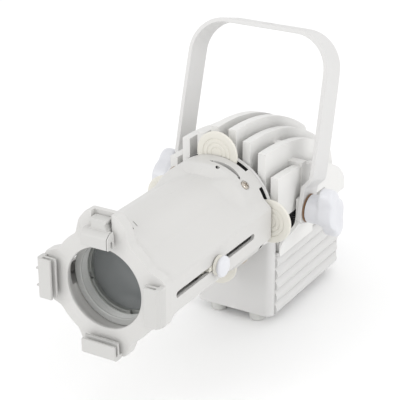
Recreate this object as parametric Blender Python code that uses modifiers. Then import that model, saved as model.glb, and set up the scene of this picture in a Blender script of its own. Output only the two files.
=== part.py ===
"""A small LED profile spot, standing on its driver box, with framing shutters and a yoke.

Every sub-part is its own object. Sizes are in metres. The optical frame has its origin on the
lens axis at the front face of the barrel flange: +X is the side with the focus knob, +Y runs back
along the axis towards the heatsink, and +Z is up.
"""

import math

import bmesh
import bpy
from mathutils import Matrix, Vector

mm = 0.001

# ------------------------------------------------------------------ driving dimensions
GAP = 0.3 * mm  # between two pieces that touch on the real lamp
SLIDE_GAP = 0.4 * mm  # between a sliding piece and its guide

OPENING_RADIUS = 32 * mm  # clear front opening
FLANGE_THICK = 8 * mm
FLANGE_RADIUS = 45 * mm  # between the four lobes
LOBE_REACH = 52.5 * mm  # the side and bottom lobes
LOBE_REACH_TOP = 60 * mm
LOBE_HALF_WIDTH = 17 * mm
TUBE_RADIUS = 40 * mm
TUBE_WALL = 2.8 * mm
FLANGE_BLEND_END = 24 * mm  # where the flange has run out into the tube
POD_X = 51 * mm  # flat outer face of the side rails
POD_HALF_HEIGHT = 13.6 * mm
POD_WALL = 2.6 * mm
POD_END = 162.4 * mm
SLOT_HALF_HEIGHT = 2.5 * mm
SLOT_START = 17 * mm
SLOT_END = 134 * mm
COLLAR_RADIUS = 47.5 * mm
COLLAR_WALL = 3.2 * mm
COLLAR_BLEND = 14 * mm
COLLAR_START = 140 * mm
COLLAR_END = 168.9 * mm
COLLAR_SCREW_Y = 150 * mm
PATTERN_SLOT_Y = 152.6 * mm
PATTERN_SLOT_WIDTH = 3.6 * mm

GATE_Y = 165 * mm  # middle plane of the four shutters
GATE_RADIUS = 20 * mm
PLATE_THICK = 0.8 * mm
BLADE_THICK = 0.4 * mm
BLADE_PITCH = 0.8 * mm
BLADE_HALF_WIDTH = 21 * mm
HANDLE_RADIUS = 18.4 * mm
HANDLE_THICK = 3 * mm
HANDLE_SHIFT = 0.4  # share of its blade's offset from the gate plane
HANDLE_REACH = 48.8 * mm  # from the lens axis to the middle of a handle
WINDOW_HALF_WIDTH = 27 * mm  # openings in the collar for the handles
POST_INNER = 38.2 * mm
POST_HALF_WIDTH = 4 * mm
BACK_PLATE_RADIUS = 47.3 * mm
BACK_PLATE_THICK = 3.2 * mm

FIN_PLACES = (8.0 * mm, 21.0 * mm, 35.0 * mm, 46.9 * mm)  # middle of each fin, to each side
FIN_THICK = 6.8 * mm
FIN_FRONT = 174.3 * mm
FIN_FALL = 0.000545  # a top falls by this times the distance from its front, in mm, to the power 2.3
FIN_REAR = 312 * mm
FIN_REAR_STEP = 3.6 * mm  # each pair ends this much before the one inside it
FIN_TOPS = (67.0 * mm, 59.0 * mm, 51.6 * mm, 33.0 * mm)  # centre pair first, outer pair last
FIN_BOTTOM = -45.7 * mm
LAMP_CUP_RADIUS = 30.5 * mm
LAMP_CUP_WALL = 3 * mm
BASE_PLATE_Y = 214 * mm
BASE_PLATE_THICK = 8 * mm

BOX_HALF_WIDTH = 35 * mm
BOX_WALL = 2.5 * mm
BOX_BOTTOM = -104.5 * mm
BOX_TOP = -49.5 * mm
BOX_FRONT = 200 * mm
BOX_REAR = 318 * mm
RIB_COUNT = 5
RIB_DEPTH = 3.5 * mm
COVER_THICK = 7 * mm
COVER_TOP = -32 * mm
PANEL_THICK = 2.7 * mm
FOOT_HEIGHT = 8 * mm
FOOT_RADIUS = 6 * mm

PIVOT_Y = 212 * mm
PIVOT_Z = -4 * mm
YOKE_TILT = math.radians(14.5)  # the yoke leans back at rest
YOKE_WIDTH = 26 * mm
YOKE_THICK = 3.5 * mm
YOKE_HEIGHT = 143.5 * mm  # pivot to the outer face of the top bar
YOKE_OUTER_LOW = 59.2 * mm
YOKE_OUTER_HIGH = 65.6 * mm
YOKE_OUTER_TOP = 64.4 * mm
YOKE_BEND_RADIUS = 32 * mm
YOKE_LOW_END = 13 * mm  # below the pivot
CLAMP_HOLE_RADIUS = 5.2 * mm
BOLT_RADIUS = 4 * mm
KNOB_HUB_RADIUS = 11.4 * mm
KNOB_WING_REACH = 22 * mm
KNOB_WAIST = 12.5 * mm
KNOB_LENGTH = 25 * mm
WASHER_THICK = 1.2 * mm

FRONT_CARRIAGE_Y = 16 * mm
FRONT_CARRIAGE_LENGTH = 66 * mm
FOCUS_KNOB_Y = 75 * mm
REAR_CARRIAGE_Y = 104 * mm
REAR_CARRIAGE_LENGTH = 18 * mm
ZOOM_KNOB_Y = 113 * mm
CLIP_DEPTH = 10 * mm

# ------------------------------------------------------------------ derived places
TUBE_BORE = TUBE_RADIUS - TUBE_WALL
COLLAR_BORE = COLLAR_RADIUS - COLLAR_WALL
BACK_PLATE_Y = COLLAR_END + GAP
CRADLE_INNER = 52.2 * mm
CRADLE_WALL = 3 * mm
EAR_TOP = PIVOT_Z + 10 * mm
CRADLE_OUTER = CRADLE_INNER + CRADLE_WALL
PANEL_Y = BOX_REAR + GAP
PANEL_BACK = PANEL_Y + PANEL_THICK
AXIS_HEIGHT = FOOT_HEIGHT + GAP - BOX_BOTTOM
FRONT_MOST = -CLIP_DEPTH
REAR_MOST = PANEL_BACK + 2.4 * mm
MIDDLE_Y = (FRONT_MOST + REAR_MOST) / 2

# ------------------------------------------------------------------ scene and helpers
for leftover in list(bpy.data.objects):
    bpy.data.objects.remove(leftover)

PARTS = bpy.data.collections.new("follow_spot")
CUTTERS = bpy.data.collections.new("cutters")
bpy.context.scene.collection.children.link(PARTS)
bpy.context.scene.collection.children.link(CUTTERS)


def empty(name, location=(0, 0, 0), parent=None, tilt=0.0):
    made = bpy.data.objects.new(name, None)
    made.empty_display_size = 0.02
    made.location = location
    made.rotation_euler.x = tilt
    made.parent = parent
    PARTS.objects.link(made)
    return made


OPTICS = empty("optical_frame", (0, -MIDDLE_Y, AXIS_HEIGHT))


def finish(name, colour, roughness, metallic=0.0):
    made = bpy.data.materials.new(name)
    made.use_nodes = True
    shader = made.node_tree.nodes["Principled BSDF"]
    shader.inputs["Base Color"].default_value = (*colour, 1)
    shader.inputs["Roughness"].default_value = roughness
    shader.inputs["Metallic"].default_value = metallic
    return made


WHITE_PAINT = finish("white_paint", (0.76, 0.75, 0.72), 0.45)
CREAM_PLASTIC = finish("cream_plastic", (0.80, 0.78, 0.70), 0.5)
WHITE_PLASTIC = finish("white_plastic", (0.78, 0.78, 0.82), 0.4)
BLACK_PLASTIC = finish("black_plastic", (0.02, 0.02, 0.02), 0.5)
GREY_PLASTIC = finish("grey_plastic", (0.42, 0.44, 0.43), 0.5)
STEEL = finish("nickel_steel", (0.55, 0.52, 0.48), 0.3, 1.0)
DARK_STEEL = finish("blued_steel", (0.05, 0.05, 0.055), 0.45, 1.0)
FIBRE = finish("brown_fibre", (0.32, 0.17, 0.09), 0.7)
GLASS = finish("lens_glass", (0.5, 0.55, 0.56), 0.05)
BOARD = finish("circuit_board", (0.03, 0.16, 0.07), 0.5)
EMITTER = finish("yellow_phosphor", (0.85, 0.66, 0.12), 0.6)


def put(name, bm, material, parent=OPTICS, location=(0, 0, 0), collection=PARTS):
    """An object from a bmesh, with its normals out, and smooth where it is round."""
    bmesh.ops.recalc_face_normals(bm, faces=bm.faces)
    mesh = bpy.data.meshes.new(name)
    bm.to_mesh(mesh)
    bm.free()
    made = bpy.data.objects.new(name, mesh)
    made.location = location
    made.parent = parent
    if material:
        mesh.materials.append(material)
    mesh.shade_smooth()
    mesh.set_sharp_from_angle(angle=math.radians(35))
    collection.objects.link(made)
    return made


def block_mesh(low, high):
    low = Vector(low)
    high = Vector(high)
    bm = bmesh.new()
    bmesh.ops.create_cube(bm, size=1)
    bmesh.ops.scale(bm, vec=high - low, verts=bm.verts)
    bmesh.ops.translate(bm, vec=(low + high) / 2, verts=bm.verts)
    return bm


AXIS_TURNS = {
    "X": Matrix.Rotation(math.radians(90), 4, "Y"),
    "Y": Matrix.Rotation(math.radians(-90), 4, "X"),
    "Z": Matrix.Identity(4),
}


def rod_mesh(radius, start, length, axis="Y", end_radius=None, sides=24):
    """A cylinder or cone that runs from start along +axis."""
    bm = bmesh.new()
    tip = radius if end_radius is None else end_radius
    bmesh.ops.create_cone(bm, cap_ends=True, segments=sides, radius1=radius, radius2=tip, depth=length)
    bmesh.ops.translate(bm, vec=(0, 0, length / 2), verts=bm.verts)
    bmesh.ops.transform(bm, matrix=AXIS_TURNS[axis], verts=bm.verts)
    bmesh.ops.translate(bm, vec=start, verts=bm.verts)
    return bm


def prism_mesh(outline, low, high, axis="Y"):
    """A flat outline swept along one axis. The outline's two numbers are the other two axes."""
    places = {
        "X": lambda a, b: (low, a, b),
        "Y": lambda a, b: (a, low, b),
        "Z": lambda a, b: (a, b, low),
    }
    sweep = Vector([high - low if name == axis else 0 for name in "XYZ"])
    bm = bmesh.new()
    face = bm.faces.new([bm.verts.new(places[axis](a, b)) for a, b in outline])
    swept = bmesh.ops.extrude_face_region(bm, geom=[face])
    moved = [item for item in swept["geom"] if isinstance(item, bmesh.types.BMVert)]
    bmesh.ops.translate(bm, vec=sweep, verts=moved)
    return bm


def loft_mesh(sections):
    """Rings of points with the same count, joined in order and closed at both ends."""
    bm = bmesh.new()
    rings = [[bm.verts.new(point) for point in section] for section in sections]
    count = len(rings[0])
    for one, two in zip(rings, rings[1:]):
        for i in range(count):
            j = (i + 1) % count
            bm.faces.new((one[i], one[j], two[j], two[i]))
    bm.faces.new(rings[0])
    bm.faces.new(rings[-1])
    bmesh.ops.recalc_face_normals(bm, faces=bm.faces)
    bmesh.ops.triangulate(bm, faces=bm.faces)
    return bm


def turned(name, profile, material, parent=OPTICS, location=(0, 0, 0), axis="Y", sides=36, on_axis=False,
           collection=PARTS):
    """A profile of (radius, place along the axis), from the far end down its outer side, turned once."""
    bm = bmesh.new()
    points = [bm.verts.new((radius, 0, place)) for radius, place in profile]
    for one, two in zip(points, points[1:]):
        bm.edges.new((one, two))
    if not on_axis:
        bm.edges.new((points[-1], points[0]))
    mesh = bpy.data.meshes.new(name)
    bm.to_mesh(mesh)
    bm.free()
    mesh.materials.append(material)
    made = bpy.data.objects.new(name, mesh)
    made.parent = parent
    made.location = location
    made.rotation_euler = AXIS_TURNS[axis].to_euler()
    collection.objects.link(made)
    screw = made.modifiers.new("turn", "SCREW")
    screw.steps = sides
    screw.render_steps = sides
    screw.use_merge_vertices = True
    screw.merge_threshold = 0.00001
    screw.use_smooth_shade = True
    return made


def boolean(target, other, operation="DIFFERENCE"):
    """Cuts target by other, or joins other to it. The helper object isn't part of the lamp."""
    if other.name not in CUTTERS.objects:
        for holder in list(other.users_collection):
            holder.objects.unlink(other)
        CUTTERS.objects.link(other)
    other.hide_render = True
    other.display_type = "WIRE"
    modifier = target.modifiers.new(f"{operation.lower()} {other.name}", "BOOLEAN")
    modifier.operation = operation
    modifier.solver = "EXACT"
    modifier.object = other


def helper(name, bm, parent=OPTICS, location=(0, 0, 0)):
    return put(name, bm, None, parent, location, CUTTERS)


def polar_radius(outline, angle):
    """How far a closed outline around the origin lies from it in one direction."""
    direction = Vector((math.cos(angle), math.sin(angle)))
    best = 0.0
    for i, start in enumerate(outline):
        start = Vector(start)
        edge = Vector(outline[(i + 1) % len(outline)]) - start
        slope = direction.cross(edge)
        if abs(slope) < 1e-12:
            continue
        distance = start.cross(edge) / slope
        share = start.cross(direction) / slope
        if distance > 0 and -1e-6 <= share <= 1 + 1e-6:
            best = max(best, distance)
    return best


def arc(centre, radius, first, last, steps):
    """Points on an arc, with its angles in degrees."""
    turns = [math.radians(first + (last - first) * i / steps) for i in range(steps + 1)]
    return [(centre[0] + radius * math.cos(t), centre[1] + radius * math.sin(t)) for t in turns]


# ------------------------------------------------------------------ barrel outlines
def tube_outline(radius, shoulder):
    """The round tube with a flat-faced rail at each side. The shoulder is the angle where a rail ends."""
    upper = [(POD_X, POD_HALF_HEIGHT)] + arc((0, 0), radius, shoulder, 180 - shoulder, 20)
    upper.append((-POD_X, POD_HALF_HEIGHT))
    return upper + [(-x, -z) for x, z in upper]


def flange_outline():
    """A round flange with a lobe for each frame clip, and a taller one for the latch."""
    half = LOBE_HALF_WIDTH
    points = []
    for quarter, reach in enumerate((LOBE_REACH, LOBE_REACH_TOP, LOBE_REACH, LOBE_REACH)):
        lobe = [(reach - 3 * mm, -half - 1 * mm), (reach, -half + 2 * mm)]
        lobe += [(reach, half - 2 * mm), (reach - 3 * mm, half + 1 * mm)]
        lobe += arc((0, 0), FLANGE_RADIUS, 36, 54, 3)
        turn = Matrix.Rotation(math.radians(90 * quarter), 2)
        points += [tuple(turn @ Vector(point)) for point in lobe]
    return points


def corner_angles(*outlines):
    """Directions for the points of a loft: evenly spaced, and one through each corner."""
    angles = {round(math.radians(7.5 * i), 5) for i in range(48)}
    for outline in outlines:
        for x, z in outline:
            corner = math.atan2(z, x) % (2 * math.pi)
            nearest = min(angles, key=lambda angle: abs(angle - corner))
            if abs(nearest - corner) > math.radians(1.2):
                angles.add(round(corner, 5))
    return sorted(angles)


def barrel_mesh():
    flange = flange_outline()
    tube = tube_outline(TUBE_RADIUS, 45)
    collar = tube_outline(COLLAR_RADIUS, 26)
    plain = arc((0, 0), COLLAR_RADIUS, 0, 355, 71)
    corners = [(POD_X, POD_HALF_HEIGHT), (-POD_X, POD_HALF_HEIGHT), (-POD_X, -POD_HALF_HEIGHT),
               (POD_X, -POD_HALF_HEIGHT)]
    angles = corner_angles(flange, corners)
    middle = (FLANGE_THICK + FLANGE_BLEND_END) / 2
    stations = [
        (0.0, flange, flange, 0.0),
        (FLANGE_THICK, flange, flange, 0.0),
        (middle, flange, tube, 0.72),
        (FLANGE_BLEND_END, tube, tube, 0.0),
        (COLLAR_START - COLLAR_BLEND, tube, tube, 0.0),
        (COLLAR_START, collar, collar, 0.0),
        (POD_END, collar, collar, 0.0),
        (POD_END + 0.1 * mm, plain, plain, 0.0),
        (COLLAR_END, plain, plain, 0.0),
    ]
    sections = []
    for y, one, two, share in stations:
        ring = []
        for angle in angles:
            radius = (1 - share) * polar_radius(one, angle) + share * polar_radius(two, angle)
            ring.append((radius * math.cos(angle), y, radius * math.sin(angle)))
        sections.append(ring)
    return loft_mesh(sections)


def barrel_cutters():
    """Everything that is taken out of both half shells."""
    beyond = 5 * mm
    bore = [
        (OPENING_RADIUS, -beyond),
        (TUBE_BORE, 2.5 * mm),
        (TUBE_BORE, COLLAR_START - 2 * mm),
        (COLLAR_BORE, COLLAR_START + 4 * mm),
        (COLLAR_BORE, COLLAR_END + beyond),
    ]
    steps = [(0, COLLAR_END + beyond)] + bore[::-1]
    steps.insert(-1, (OPENING_RADIUS, 2.5 * mm))
    steps.append((0, -beyond))
    cutters = [turned("barrel_bore", steps, WHITE_PAINT, sides=48, on_axis=True, collection=CUTTERS)]
    inner_x = POD_X - POD_WALL
    pocket = block_mesh((-inner_x, 11.3 * mm, -11 * mm), (inner_x, COLLAR_START + 0.7 * mm, 11 * mm))
    cutters.append(helper("rail_pockets", pocket))
    slot = block_mesh((-2 * POD_X, SLOT_START, -SLOT_HALF_HEIGHT), (2 * POD_X, SLOT_END, SLOT_HALF_HEIGHT))
    cutters.append(helper("rail_slots", slot))
    half_depth = HANDLE_THICK / 2 + HANDLE_SHIFT * 1.5 * BLADE_PITCH + GAP
    low_y = GATE_Y - half_depth
    high_y = GATE_Y + half_depth
    far = COLLAR_RADIUS + beyond
    wide = WINDOW_HALF_WIDTH
    side = block_mesh((-far, low_y, -wide), (far, high_y, wide))
    upright = block_mesh((-wide, low_y, -far), (wide, high_y, far))
    cutters.append(helper("side_windows", side))
    cutters.append(helper("upright_windows", upright))
    near = PATTERN_SLOT_Y - PATTERN_SLOT_WIDTH / 2
    back = PATTERN_SLOT_Y + PATTERN_SLOT_WIDTH / 2
    for sign, place in ((1, "top"), (-1, "bottom")):
        xs = sorted((sign * 1.5 * mm, sign * 28 * mm))
        zs = sorted((sign * 35 * mm, sign * far))
        cutters.append(helper(f"pattern_slot_{place}",
                              block_mesh((xs[0], near, zs[0]), (xs[1], back, zs[1]))))
    for name, degrees in (("rising", 45), ("falling", -45)):
        cutters.append(screw_hole(f"collar_holes_{name}", degrees))
    notch = block_mesh((-8.6 * mm, -beyond, 43 * mm), (8.6 * mm, 4.4 * mm, 80 * mm))
    cutters.append(helper("latch_notch", notch))
    return cutters


def screw_hole(name, degrees):
    """A long drill across the collar, through two screws that face each other."""
    reach = 2 * COLLAR_RADIUS
    drill = rod_mesh(2.1 * mm, (-reach / 2 - 5 * mm, 0, 0), reach + 10 * mm, "X", sides=12)
    bmesh.ops.rotate(drill, matrix=Matrix.Rotation(math.radians(-degrees), 3, "Y"), verts=drill.verts)
    return helper(name, drill, location=(0, COLLAR_SCREW_Y, 0))


def barrel_shells():
    cutters = barrel_cutters()
    far = 100 * mm
    for side, sign in (("right", 1), ("left", -1)):
        shell = put(f"barrel_shell_{side}", barrel_mesh(), WHITE_PAINT)
        xs = sorted((sign * GAP / 2, -sign * far))
        other_half = block_mesh((xs[0], -20 * mm, -far), (xs[1], COLLAR_END + 20 * mm, far))
        boolean(shell, helper(f"half_{side}", other_half))
        for cutter in cutters:
            boolean(shell, cutter)


def frame_clip(name, degrees):
    """A double channel that holds a colour frame by its edge: an outer wall with two lips."""
    wall = LOBE_REACH - 3.5 * mm
    depth = CLIP_DEPTH
    outline = [
        (LOBE_REACH, -GAP),
        (LOBE_REACH, -depth),
        (40 * mm, -depth),
        (40 * mm, -depth + 2.4 * mm),
        (wall, -depth + 2.4 * mm),
        (wall, -5.2 * mm),
        (38.5 * mm, -5.2 * mm),
        (38.5 * mm, -3.0 * mm),
        (wall, -3.0 * mm),
        (wall, -GAP),
    ]
    bm = prism_mesh(outline, -16 * mm, 16 * mm, "Z")
    bmesh.ops.rotate(bm, matrix=Matrix.Rotation(math.radians(-degrees), 3, "Y"), verts=bm.verts)
    put(name, bm, WHITE_PAINT)


def frame_latch():
    """The sliding catch at the top: a hooked cap on a neck that runs in the flange's notch."""
    slide = empty("latch_slide", (0, 0, 45 * mm), OPTICS)
    cap = block_mesh((-13 * mm, -CLIP_DEPTH, -11 * mm), (13 * mm, -2.2 * mm, 4 * mm))
    latch = put("frame_latch", cap, WHITE_PAINT, slide)
    neck = block_mesh((-8 * mm, -6 * mm, -1 * mm), (8 * mm, 4 * mm, 14 * mm))
    boolean(latch, helper("latch_neck", neck, slide), "UNION")
    groove = block_mesh((-20 * mm, -6.6 * mm, -15 * mm), (20 * mm, -4.4 * mm, -3 * mm))
    boolean(latch, helper("latch_groove", groove, slide))


# ------------------------------------------------------------------ lenses and their carriages
def lens(name, radius, flat_y, edge, centre, parent, material=GLASS):
    """Flat in front and domed behind."""
    sag = centre - edge
    curve = (radius ** 2 + sag ** 2) / (2 * sag)
    dome = []
    for i in range(7):
        r = radius * i / 6
        dome.append((r, flat_y + centre - (curve - math.sqrt(curve ** 2 - r ** 2))))
    profile = dome + [(radius, flat_y), (0, flat_y)]
    turned(name, profile, material, parent, sides=36, on_axis=True)


def slider_block(name, sign, low_y, high_y, parent):
    """A T-shaped block: wide inside the rail, with a neck that comes out through the slot."""
    base = TUBE_BORE - SLIDE_GAP + GAP
    shoulder = POD_X - POD_WALL - 2 * mm
    neck = SLOT_HALF_HEIGHT - SLIDE_GAP
    face = POD_X + GAP
    right = [(base, -8 * mm), (shoulder, -8 * mm), (shoulder, -neck), (face, -neck)]
    outline = right + [(x, -z) for x, z in reversed(right)]
    put(name, prism_mesh([(sign * x, z) for x, z in outline], low_y, high_y), CREAM_PLASTIC, parent)


def clamp_knob(name, sign, y, parent):
    """A small round thumb screw on the slider, turning about X."""
    face = POD_X + 2 * GAP
    base = empty(f"{name}_axis", (sign * face, y, 0), parent)
    profile = [(0, 8 * mm), (6.8 * mm, 8 * mm), (8.2 * mm, 7 * mm), (8.2 * mm, 1.4 * mm),
               (9 * mm, 1.2 * mm), (9 * mm, 0), (0, 0)]
    knob = turned(name, profile, WHITE_PLASTIC, base, sides=24, on_axis=True)
    knob.rotation_euler = (0, math.radians(90 * sign), 0)


def lens_groups():
    radius = TUBE_BORE - SLIDE_GAP
    seat = 31 * mm
    front = empty("front_carriage_slide", (0, 0, 0), OPTICS)
    start = FRONT_CARRIAGE_Y
    end = start + FRONT_CARRIAGE_LENGTH
    inner = radius - 2.4 * mm
    profile = [(radius, end), (radius, start), (radius - 1.4 * mm, start), (29 * mm, seat - 1.5 * mm),
               (29 * mm, seat), (inner, seat), (inner, end)]
    turned("front_lens_carriage", profile, GREY_PLASTIC, front, sides=48)
    lens("front_lens", inner - GAP, seat + GAP, 3 * mm, 14 * mm, front)
    slider_block("focus_slider", 1, 62 * mm, 81 * mm, front)
    clamp_knob("focus_knob", 1, FOCUS_KNOB_Y, front)

    rear = empty("rear_carriage_slide", (0, 0, 0), OPTICS)
    start = REAR_CARRIAGE_Y
    end = start + REAR_CARRIAGE_LENGTH
    seat = start + 8 * mm
    profile = [(radius, end), (radius, start), (30.5 * mm, start), (30.5 * mm, seat), (inner, seat),
               (inner, end)]
    turned("rear_lens_carriage", profile, GREY_PLASTIC, rear, sides=48)
    lens("rear_lens", inner - GAP, seat + GAP, 3 * mm, 12 * mm, rear)
    slider_block("zoom_slider", -1, 106 * mm, 120 * mm, rear)
    clamp_knob("zoom_knob", -1, ZOOM_KNOB_Y, rear)


# ------------------------------------------------------------------ gate and shutters
def gate():
    back = BACK_PLATE_Y
    plate = [(BACK_PLATE_RADIUS, back + BACK_PLATE_THICK), (BACK_PLATE_RADIUS, back),
             (GATE_RADIUS + 3 * mm, back), (GATE_RADIUS + 3 * mm, back + BACK_PLATE_THICK)]
    housing = turned("gate_housing", plate, WHITE_PAINT, sides=48)
    outer = COLLAR_BORE - GAP
    for i in range(4):
        post = block_mesh((POST_INNER, COLLAR_SCREW_Y - 5 * mm, -POST_HALF_WIDTH),
                          (outer - 0.5 * mm, back + 1 * mm, POST_HALF_WIDTH))
        bmesh.ops.rotate(post, matrix=Matrix.Rotation(math.radians(45 + 90 * i), 3, "Y"), verts=post.verts)
        boolean(housing, helper(f"gate_post_{i + 1}", post), "UNION")
    for name, degrees in (("rising", 45), ("falling", -45)):
        boolean(housing, bpy.data.objects[f"collar_holes_{name}"])
    radius = POST_INNER - SLIDE_GAP
    for name, y in (("shutter_guide", GATE_Y - 3.2 * mm), ("gate_plate", GATE_Y + 2.4 * mm)):
        turned(name, [(radius, y + PLATE_THICK), (radius, y), (GATE_RADIUS, y),
                      (GATE_RADIUS, y + PLATE_THICK)], DARK_STEEL, sides=48)


def collar_screws():
    for i in range(4):
        turn = Matrix.Rotation(math.radians(45 + 90 * i), 3, "Y")
        holder = empty(f"collar_screw_seat_{i + 1}", (0, COLLAR_SCREW_Y, 0), OPTICS)
        holder.rotation_euler = turn.to_euler()
        head = COLLAR_RADIUS + GAP
        profile = [(0, head + 1.9 * mm), (2 * mm, head + 1.8 * mm), (3.4 * mm, head + 0.6 * mm),
                   (3.4 * mm, head), (1.7 * mm, head), (1.7 * mm, 40 * mm), (0, 40 * mm)]
        turned(f"collar_screw_{i + 1}", profile, STEEL, holder, axis="X", sides=14, on_axis=True)


def shutter(place, degrees, layer):
    """A steel blade with a round handle. Modelled pointing along +X, then turned to its place."""
    slide = empty(f"shutter_{place}_slide", (0, GATE_Y, 0), OPTICS)
    slide.rotation_euler.y = math.radians(-degrees)
    blade_y = BLADE_PITCH * layer
    half = BLADE_HALF_WIDTH
    outline = [(3.5 * mm, -half), (20 * mm, -half), (26 * mm, -9 * mm), (38 * mm, -9 * mm)]
    outline += [(x, -z) for x, z in reversed(outline)]
    blade = prism_mesh(outline, blade_y - BLADE_THICK / 2, blade_y + BLADE_THICK / 2)
    put(f"shutter_blade_{place}", blade, DARK_STEEL, slide)
    disc_y = HANDLE_SHIFT * blade_y
    front = -HANDLE_THICK / 2
    back = HANDLE_THICK / 2
    step = 0.5 * mm
    profile = [(0, back), (HANDLE_RADIUS - 1 * mm, back), (HANDLE_RADIUS, back - 0.8 * mm),
               (HANDLE_RADIUS, front + 0.8 * mm), (HANDLE_RADIUS - 1 * mm, front)]
    for ring in (13.5, 10.5, 7.5, 4.5):
        profile += [(ring * mm, front), (ring * mm - step, front + step), (ring * mm - 2 * step, front)]
    profile.append((0, front))
    handle = turned(f"shutter_handle_{place}", profile, CREAM_PLASTIC, slide, (HANDLE_REACH, disc_y, 0),
                    sides=32, on_axis=True)
    slot = BLADE_THICK / 2 + GAP
    pocket = block_mesh((20 * mm, blade_y - slot, -9.4 * mm), (38.5 * mm, blade_y + slot, 9.4 * mm))
    boolean(handle, helper(f"blade_pocket_{place}", pocket, slide))


# ------------------------------------------------------------------ heatsink and light source
def fin_outline(top, low_front, bottom, rear):
    """Side view of a fin: a top that falls faster and faster, and a rounded rear end."""
    length = rear - FIN_FRONT
    points = []
    for share in (0, 0.18, 0.34, 0.48, 0.60, 0.71, 0.81, 0.89):
        run = share * length
        points.append((FIN_FRONT + run, top - FIN_FALL * (run / mm) ** 2.3 * mm))
    last_y, last_z = points[-1]
    points += [(rear - 6 * mm, last_z - 9 * mm), (rear - 1.5 * mm, last_z - 19 * mm)]
    points += [(rear, min(last_z - 28 * mm, -7 * mm)), (rear, bottom + 5 * mm), (rear - 5 * mm, bottom)]
    if low_front > bottom:
        step = BOX_FRONT + GAP if bottom == FIN_BOTTOM else 264 * mm
        points += [(step, bottom), (step, low_front)]
    points.append((FIN_FRONT, low_front))
    return points


def heatsink():
    base = block_mesh((-CRADLE_INNER + 0.7 * mm, BASE_PLATE_Y, -3 * mm),
                      (CRADLE_INNER - 0.7 * mm, BASE_PLATE_Y + BASE_PLATE_THICK, 33 * mm))
    sink = put("heatsink", base, WHITE_PAINT)
    core = block_mesh((-36 * mm, BASE_PLATE_Y, -44 * mm),
                      (36 * mm, BASE_PLATE_Y + BASE_PLATE_THICK - 0.5 * mm, 46 * mm))
    boolean(sink, helper("heatsink_core", core), "UNION")
    for i in range(2 * len(FIN_PLACES)):
        rank = i // 2
        x = FIN_PLACES[rank] * (1 if i % 2 else -1)
        outer = rank == len(FIN_PLACES) - 1
        outline = fin_outline(FIN_TOPS[rank], -5.2 * mm if outer else -28 * mm,
                              -21 * mm if outer else FIN_BOTTOM, FIN_REAR - rank * FIN_REAR_STEP)
        fin = helper(f"fin_{i + 1}", prism_mesh(outline, x - FIN_THICK / 2, x + FIN_THICK / 2, "X"))
        boolean(sink, fin, "UNION")
    room = rod_mesh(LAMP_CUP_RADIUS - 0.5 * mm, (0, FIN_FRONT - 5 * mm, 0),
                    BASE_PLATE_Y - FIN_FRONT + 5 * mm, sides=48)
    boolean(sink, helper("lamp_room", room))
    ring = [(LAMP_CUP_RADIUS, BASE_PLATE_Y + 1 * mm), (LAMP_CUP_RADIUS, FIN_FRONT + 0.2 * mm),
            (LAMP_CUP_RADIUS - LAMP_CUP_WALL, FIN_FRONT + 0.2 * mm), (LAMP_CUP_RADIUS - LAMP_CUP_WALL,
                    BASE_PLATE_Y + 1 * mm)]
    cup = turned("lamp_cup", ring, WHITE_PAINT, sides=48, collection=CUTTERS)
    boolean(sink, cup, "UNION")


def light_source():
    rod = rod_mesh(20 * mm, (0, BASE_PLATE_Y - 2 * mm, 0), 2 * mm - GAP, sides=32)
    put("led_board", rod, BOARD)
    chip = rod_mesh(7 * mm, (0, BASE_PLATE_Y - 3.8 * mm, 0), 1.5 * mm, sides=24)
    put("led_emitter", chip, EMITTER)
    wide = LAMP_CUP_RADIUS - LAMP_CUP_WALL - SLIDE_GAP
    near = FIN_FRONT + 0.6 * mm
    far = BASE_PLATE_Y - 2 * mm - GAP
    profile = [(10.5 * mm, far), (wide, near + 3 * mm), (wide, near), (wide - 2 * mm, near), (9 * mm, far)]
    turned("reflector", profile, STEEL, sides=36)


# ------------------------------------------------------------------ cradle, yoke and knobs
def cradle():
    """A bent cradle between the driver box and the heatsink, with an ear for each yoke arm."""
    floor = FIN_BOTTOM - GAP
    under = floor - CRADLE_WALL - 0.2 * mm
    outer = [(40.2 * mm, under), (39.9 * mm, -43 * mm), (41.4 * mm, -37 * mm), (44.9 * mm, -31 * mm)]
    outer += [(51 * mm, -23 * mm), (CRADLE_OUTER, -16.5 * mm), (CRADLE_OUTER, EAR_TOP)]
    inner = [(CRADLE_INNER, EAR_TOP), (CRADLE_INNER, -15.5 * mm), (48.4 * mm, -21.4 * mm)]
    inner += [(42.4 * mm, -29.4 * mm), (39.2 * mm, -35.4 * mm), (38.7 * mm, floor)]
    right = outer + inner
    outline = right + [(-x, z) for x, z in reversed(right)]
    part = put("pivot_cradle", prism_mesh(outline, BOX_FRONT + GAP, 262 * mm), WHITE_PAINT)
    far = 80 * mm
    ear_front = PIVOT_Y - 9 * mm
    ear_back = PIVOT_Y + 10 * mm
    boolean(part, helper("ear_trim_back", block_mesh((-far, ear_back, -13 * mm), (far, 280 * mm, 20 * mm))))
    boolean(part, helper("ear_trim_front", block_mesh((-far, 190 * mm, -13 * mm),
                                                      (far, ear_front, 20 * mm))))
    drill = rod_mesh(BOLT_RADIUS + GAP, (-far, PIVOT_Y, PIVOT_Z), 2 * far, "X", sides=20)
    boolean(part, helper("ear_drill", drill))


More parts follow.
